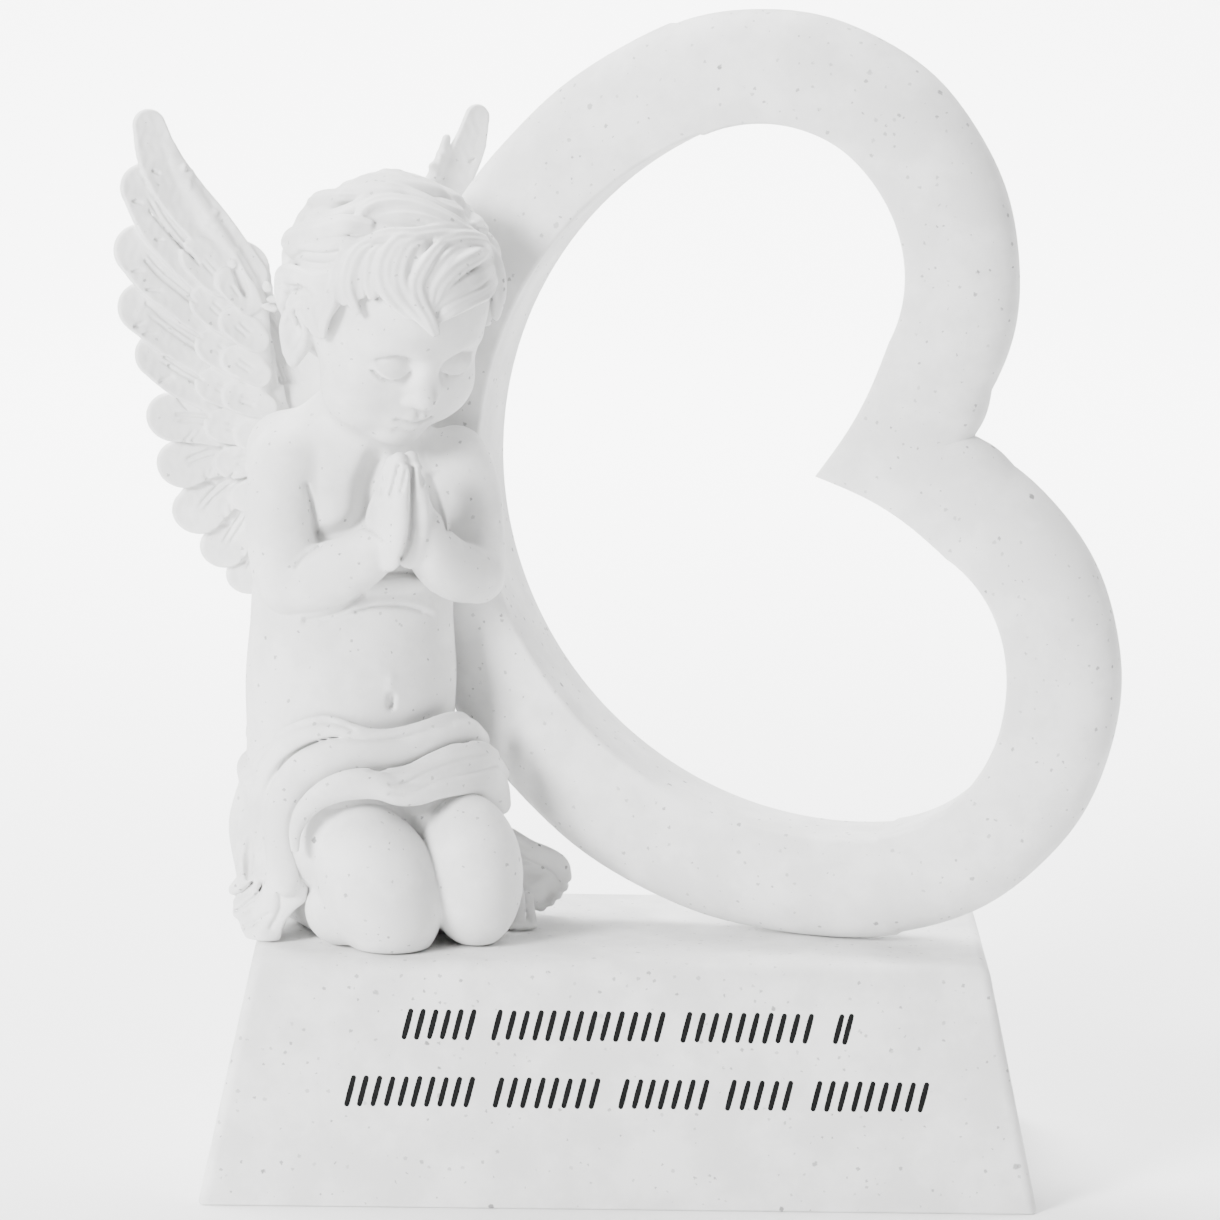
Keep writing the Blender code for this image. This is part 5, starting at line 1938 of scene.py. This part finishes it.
@dataclass
class CherubDrape:
    """Cloth wound round the hips in soft swags, with its end hanging at the viewer's left."""

    ring: HeartRing
    voxel: float = 0.36
    middle: tuple[float, float] = (1.0, 1.4)

    def seen(self, across: float, height: float, wide: float,
             deep: float) -> tuple[Array, Array]:
        """Find the place on an oval round the hips that shows at a place seen from the front.

        Args:
            across: Place across the view.
            height: Height in the view.
            wide: Half breadth of the oval.
            deep: Half depth of the oval.

        Returns:
            The place and the outward direction.
        """
        c, s = math.cos(BODY.turn), math.sin(BODY.turn)
        start = across - BODY.origin[0]
        p, q = start * c - self.middle[0], start * s - self.middle[1]
        a = (s / wide) ** 2 + (c / deep) ** 2
        b = 2.0 * (p * s / wide ** 2 - q * c / deep ** 2)
        k = (p / wide) ** 2 + (q / deep) ** 2 - 1.0
        step = (-b - math.sqrt(max(b * b - 4.0 * a * k, 0.0))) / (2.0 * a)
        axes = BODY.axes()
        out = unit(axes[0] * (p + step * s) / wide ** 2 + axes[1] * (q - step * c) / deep ** 2)
        y = BODY.origin[1] + step
        return np.array([across, y, height + (y - FRONT) * SIGHT[2]]), out

    def band(self, clay: Clay, stops: Sequence[tuple[float, float, float]], wide: float,
             deep: float, thick: float) -> None:
        """Lay one rolled band of cloth over the lap.

        Args:
            clay: The cloth's clay.
            stops: Place across, height and half width of the band, as seen from the front.
            wide: Half breadth of the oval that the band's face follows.
            deep: Half depth of that oval.
            thick: Thickness over width.
        """
        places, outs, radii = [], [], []
        for across, height, size in stops:
            place, out = self.seen(across, height, wide, deep)
            places.append(place - out * size * thick)
            outs.append(out)
            radii.append(size)
        clay.rope(places, radii, 0.2, flat=outs, squash=thick)

    def crease(self, clay: Clay, line: Sequence[Sequence[float]], depth: float,
               reach: float) -> None:
        """Press a crease under a line of places across and up, cast from near the cloth."""
        clay.trace([(x, -12.0, z - 1.4) for x, z in line], 0.3, depth, SIGHT, reach=reach)

    def wrap(self, clay: Clay) -> None:
        """Lay the cloth that hugs the hips, seat and thighs.

        Args:
            clay: The cloth's clay.
        """
        b, axes = BODY.at, BODY.axes()
        clay.ball(b(0.2, -1.2, 64.0), (18.6, 14.4, 11.0), 2.0, axes)
        clay.ball(b(0.8, -5.6, 58.0), (18.8, 13.4, 15.0), 2.0, axes)
        clay.ball(b(1.0, -8.0, 51.0), (16.5, 11.0, 12.0), 2.0, axes)
        clay.rope([b(-7.0, 4.0, 63.4), b(-5.0, 8.4, 61.8)], [11.2, 9.2], 2.0)
        clay.rope([b(9.0, 4.0, 65.0), b(13.0, 8.8, 63.4)], [10.6, 7.6], 2.0)
        for angle in (104, 126, 150, 174, 198, 222, 246):
            fold = [BODY.around(angle + 4, 67, 18.6, 14.6), BODY.around(angle, 58, 20.0, 17.4),
                    BODY.around(angle - 3, 48, 19.2, 19.2)]
            clay.rope(fold, [1.2, 2.4, 1.6], 1.6)
        for height, low, high, wide in ((70.4, 84, 262, 18.6), (76.0, 122, 250, 17.4)):
            belt = [BODY.around(a, height - 0.02 * (a - low), wide, wide * 0.8)
                    for a in np.linspace(low, high, 9)]
            clay.rope(belt, [2.6] + [2.9] * 7 + [2.2], 0.8)

    def swags(self, clay: Clay) -> None:
        """Lay the bands across the lap.

        Args:
            clay: The cloth's clay.
        """
        bands = (
            (((-63.2, 67.6, 1.2), (-61.6, 70.8, 1.1), (-59.0, 73.9, 1.0), (-55.4, 76.9, 0.95),
              (-50.2, 78.8, 0.8), (-46.6, 78.5, 0.7), (-43.8, 77.4, 0.5)), 19.6, 15.0, 0.7),
            (((-61.9, 54.6, 1.7), (-62.1, 60.8, 2.0), (-61.1, 67.0, 2.1), (-58.9, 71.4, 1.9),
              (-56.0, 74.3, 1.8), (-52.5, 76.1, 1.6), (-48.4, 77.1, 1.5), (-44.8, 76.9, 1.4),
              (-41.4, 76.3, 1.2), (-37.4, 76.5, 1.1), (-33.0, 77.6, 1.1), (-29.0, 79.0, 1.1),
              (-26.4, 79.3, 1.0), (-24.8, 78.2, 0.8)), 20.4, 15.8, 0.7),
            (((-58.0, 74.2, 1.2), (-55.0, 76.2, 1.3), (-51.0, 77.6, 1.2), (-47.6, 77.9, 1.0),
              (-44.8, 77.2, 0.7)), 19.8, 15.2, 0.7),
            (((-56.5, 51.6, 2.8), (-57.0, 56.0, 2.7), (-57.2, 60.6, 2.7), (-56.2, 65.8, 2.9),
              (-53.5, 69.8, 3.1), (-49.6, 71.9, 3.2), (-45.6, 72.9, 3.1), (-41.6, 73.1, 2.8),
              (-36.9, 73.2, 2.7), (-32.7, 74.4, 2.7), (-28.2, 76.1, 2.6), (-24.6, 76.9, 2.3),
              (-22.4, 75.2, 2.0)), 22.8, 16.8, 0.66),
            (((-53.8, 57.4, 0.8), (-53.8, 60.2, 1.1), (-52.6, 63.2, 1.6), (-50.2, 65.7, 2.0),
              (-46.6, 67.4, 2.4), (-42.6, 68.1, 2.6), (-39.2, 67.8, 2.4), (-36.2, 66.6, 2.1),
              (-33.0, 66.6, 2.0), (-29.6, 67.8, 2.2), (-25.4, 68.7, 2.5), (-21.4, 69.0, 2.9),
              (-19.2, 67.4, 2.7), (-18.6, 64.6, 1.7)), 26.6, 21.0, 0.74),
            (((-41.0, 69.0, 1.4), (-37.0, 68.8, 1.5), (-32.8, 69.8, 1.5), (-28.2, 71.4, 1.6),
              (-23.8, 72.4, 1.6), (-20.6, 71.8, 1.5), (-18.9, 69.8, 1.3)), 26.2, 20.2, 0.8),
            (((-39.4, 70.0, 0.8), (-35.0, 70.4, 1.1), (-30.8, 72.2, 1.3), (-26.8, 73.8, 1.3),
              (-22.8, 74.2, 1.2), (-20.6, 73.0, 1.0)), 25.4, 19.0, 0.8))
        for stops, wide, deep, thick in bands:
            self.band(clay, stops, wide, deep, thick)
        creases = (
            ((-59.9, 72.5), (-57.9, 75.4), (-54.4, 77.3), (-49.8, 78.5), (-46.6, 78.1),
             (-44.4, 77.3)),
            ((-60.1, 54.0), (-59.9, 60.8), (-58.9, 66.6), (-57.3, 70.2), (-54.4, 73.1),
             (-50.5, 75.1), (-46.6, 76.0), (-42.7, 75.7), (-36.8, 76.0), (-32.3, 77.0),
             (-28.4, 78.1)),
            ((-54.0, 56.2), (-54.8, 60.1), (-54.1, 64.0), (-51.8, 66.8), (-48.5, 68.7),
             (-44.6, 70.0), (-40.7, 70.5), (-36.8, 70.6), (-33.6, 71.8), (-29.7, 73.8),
             (-25.8, 75.1), (-22.4, 74.2)),
            ((-39.6, 68.6), (-36.2, 68.4), (-32.3, 70.3), (-27.1, 72.2), (-22.5, 73.3)),
            ((-38.4, 66.8), (-34.2, 67.1), (-30.3, 68.9), (-25.8, 70.0), (-21.0, 71.2)))
        for line, depth in zip(creases, (0.4, 0.35, 0.35, 0.5, 0.5)):
            self.crease(clay, line, depth, reach=11.0)

    def tail(self, clay: Clay) -> None:
        """Lay the end of the cloth, which hangs at the viewer's left and flares on the base.

        Args:
            clay: The cloth's clay.
        """
        folds = (
            (((-57.4, -12.0, 58.0), (-56.6, -14.0, 52.6), (-56.9, -14.2, 48.6),
              (-57.8, -13.8, 45.2), (-59.2, -13.2, 42.0)), (2.8, 3.0, 3.1, 2.8, 2.3)),
            (((-54.6, -14.4, 54.0), (-54.0, -15.2, 50.0), (-54.6, -14.8, 46.6),
              (-56.2, -14.0, 43.4), (-58.2, -13.4, 41.2)), (1.6, 2.2, 2.2, 2.1, 1.7)),
            (((-62.2, -8.8, 60.0), (-63.0, -9.6, 55.6), (-62.4, -10.8, 52.6),
              (-60.4, -12.8, 50.8)), (1.6, 1.1, 1.3, 1.7)),
            (((-60.2, -13.2, 51.2), (-62.4, -12.0, 49.5), (-64.3, -11.0, 48.2)), (1.4, 1.5, 1.0)),
            (((-58.8, -14.0, 48.4), (-61.4, -12.8, 46.4), (-63.4, -11.8, 44.6)), (1.5, 1.6, 1.2)),
            (((-58.4, -13.8, 44.8), (-60.6, -12.8, 43.2), (-62.0, -12.0, 42.2)), (1.6, 1.5, 1.1)),
            (((-58.8, -13.2, 42.0), (-60.4, -12.6, 40.9), (-61.4, -12.2, 40.4)), (1.8, 1.5, 1.0)))
        clay.ball((-58.0, -8.5, 55.0), (4.2, 5.4, 14.0), 1.6)
        clay.ball((-59.2, -9.6, 45.0), (4.0, 4.2, 5.8), 1.2)
        clay.rope([(-60.4, -10.8, 51.0), (-62.6, -10.4, 48.2), (-62.0, -10.8, 45.0),
                   (-60.6, -11.4, 42.0)], [2.4, 2.1, 2.2, 2.2], 0.8)
        clay.ball((-60.2, -13.4, 50.4), (2.0, 1.6, 1.8), 0.6)
        for places, radii in folds:
            clay.rope(places, radii, 0.7)
        clay.ball((-60.9, -8.8, 54.4), (2.4, 3.0, 6.5), 0.8)
        clay.ball((-61.9, -13.4, 54.4), (1.0, 2.7, 4.2), 0.3, act=Act.CARVE)
        clay.ball((-50.6, -14.0, 40.0), (5.8, 14.0, 7.6), 0.5, act=Act.CARVE)
        for line, depth in ((((-61.0, 51.2), (-63.0, 49.4), (-64.9, 48.2)), 0.9),
                            (((-59.4, 51.2), (-60.2, 49.2), (-62.0, 47.6), (-63.9, 46.2)), 0.9),
                            (((-58.2, 46.0), (-60.0, 44.8), (-62.4, 43.4)), 0.7),
                            (((-56.6, 50.6), (-56.4, 47.0), (-58.0, 43.6)), 0.5)):
            self.crease(clay, line, depth, reach=6.0)

    def build(self, stone: bpy.types.Material) -> None:
        """Make the cloth.

        Args:
            stone: Its finish.
        """
        clay = Clay("cherub_drape", self.voxel)
        self.wrap(clay)
        self.swags(clay)
        self.tail(clay)
        ring_clearance(clay, self.ring)
        base_clearance(clay)
        place_piece(clay.mesh(), stone, ["cherub"])


# ------------------------------------------------------------------------------ studio


@dataclass(frozen=True)
class Softbox:
    """One square soft light, with its places and size in metres."""

    name: str
    place: tuple[float, float, float]
    aim: tuple[float, float, float]
    power: float
    size: float = 0.5
    spread: float = math.pi

    def hang(self) -> None:
        """Hang the light and point it at its aim."""
        data = bpy.data.lights.new(self.name, "AREA")
        data.shape, data.size, data.energy = "SQUARE", self.size, self.power
        data.spread = self.spread
        lamp = new_object(self.name, data)
        lamp.location = self.place
        towards = Vector(self.aim) - Vector(self.place)
        lamp.rotation_euler = towards.to_track_quat("-Z", "Y").to_euler()


@dataclass
class Studio:
    """Pale paper sweep, soft lights, and the camera at the product-shot angle.

    The camera's target and distance are in mm; the paper's sizes are in metres.
    """

    target: tuple[float, float, float] = (-2.4, 0.0, 94.2)
    distance: float = 1013.0
    elevation: float = math.radians(10.32)
    yaw: float = math.radians(-0.40)
    tilt: float = math.radians(0.78)
    lens: float = 179.3
    sensor: float = 36.0
    clip: tuple[float, float] = (0.01, 20.0)
    half_width: float = 2.6
    floor_front: float = -1.6
    bend_start: float = 1.1
    bend: float = 0.7
    bend_steps: int = 12
    wall_top: float = 2.6
    room_light: float = 0.28
    boxes: tuple[Softbox, ...] = (
        Softbox("key_softbox", (-1.14, -1.20, 0.76), (0.0, 0.0, 0.09), 80.0),
        Softbox("top_softbox", (-0.25, 0.25, 1.1), (0.0, 0.0, 0.09), 24.0),
        Softbox("rim_softbox", (0.98, 0.30, 0.72), (0.03, 0.0, 0.1), 9.0),
        Softbox("paper_light", (0.0, 0.85, 1.1), (0.0, 1.2, 0.0), 55.0, 1.2,
                math.radians(112.0)))

    def camera(self) -> None:
        """Set up the camera."""
        data = bpy.data.cameras.new("plaque_camera")
        data.lens = self.lens
        data.sensor_width = self.sensor
        data.clip_start, data.clip_end = self.clip
        camera = new_object("plaque_camera", data)
        back = Vector((math.sin(self.yaw) * math.cos(self.elevation),
                       -math.cos(self.yaw) * math.cos(self.elevation), math.sin(self.elevation)))
        camera.location = (Vector(self.target) + back * self.distance) * MM
        forward = -back
        right = forward.cross(Vector((0, 0, 1))).normalized()
        up = right.cross(forward)
        level = math.cos(self.tilt) * right + math.sin(self.tilt) * up
        upright = -math.sin(self.tilt) * right + math.cos(self.tilt) * up
        camera.rotation_euler = Matrix((level, upright, back)).transposed().to_euler()
        bpy.context.scene.camera = camera

    def floor(self) -> None:
        """Lay the paper: a flat floor that curves up into a backdrop."""
        profile = [(self.floor_front, 0.0)]
        for step in range(self.bend_steps + 1):
            angle = math.pi / 2 * step / self.bend_steps
            profile.append((self.bend_start + self.bend * math.sin(angle),
                            self.bend - self.bend * math.cos(angle)))
        profile.append((self.bend_start + self.bend, self.wall_top))
        bm = bmesh.new()
        left, right = ([bm.verts.new((x, y, z)) for y, z in profile]
                       for x in (-self.half_width, self.half_width))
        for i in range(len(profile) - 1):
            bm.faces.new((left[i], right[i], right[i + 1], left[i + 1]))
        floor = solid_object("studio_floor", bm)
        floor.data.shade_smooth()
        floor.data.materials.append(StudioPaper().build())

    def lights(self) -> None:
        """Hang the soft lights and set the even light of the room."""
        world = bpy.data.worlds.new("studio_room")
        world.use_nodes = True
        backdrop = world.node_tree.nodes["Background"].inputs
        backdrop["Color"].default_value = (1, 1, 1, 1)
        backdrop["Strength"].default_value = self.room_light
        bpy.context.scene.world = world
        for box in self.boxes:
            box.hang()

    def build(self) -> None:
        """Set up the whole studio."""
        self.camera()
        self.floor()
        self.lights()


def main() -> None:
    """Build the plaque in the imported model's frame, then its studio."""
    logging.basicConfig(level=logging.INFO, format="%(message)s")
    groups = Groups()
    base = CastStone("base_stone").build(groups)
    ring_stone = CastStone("ring_stone").build(groups)
    figure = CastStone("figure_stone", speck_share=0.55).build(groups)
    wing_stone = CastStone("wing_stone", speck_share=0.35).build(groups)
    BasePlinth().build(base, InscriptionPaint().build(groups))
    ring = HeartRing()
    ring.build(ring_stone)
    CherubFigure(ring).build(figure)
    CherubHair(ring).build(figure)
    CherubDrape(ring).build(figure)
    for name, side, node in (("left_wing_feathers", -1, "left_wing"),
                             ("right_wing_feathers", 1, "right_wing")):
        Wing(name, side, node).build(wing_stone)
    Studio().build()


if __name__ == "__main__":
    main()
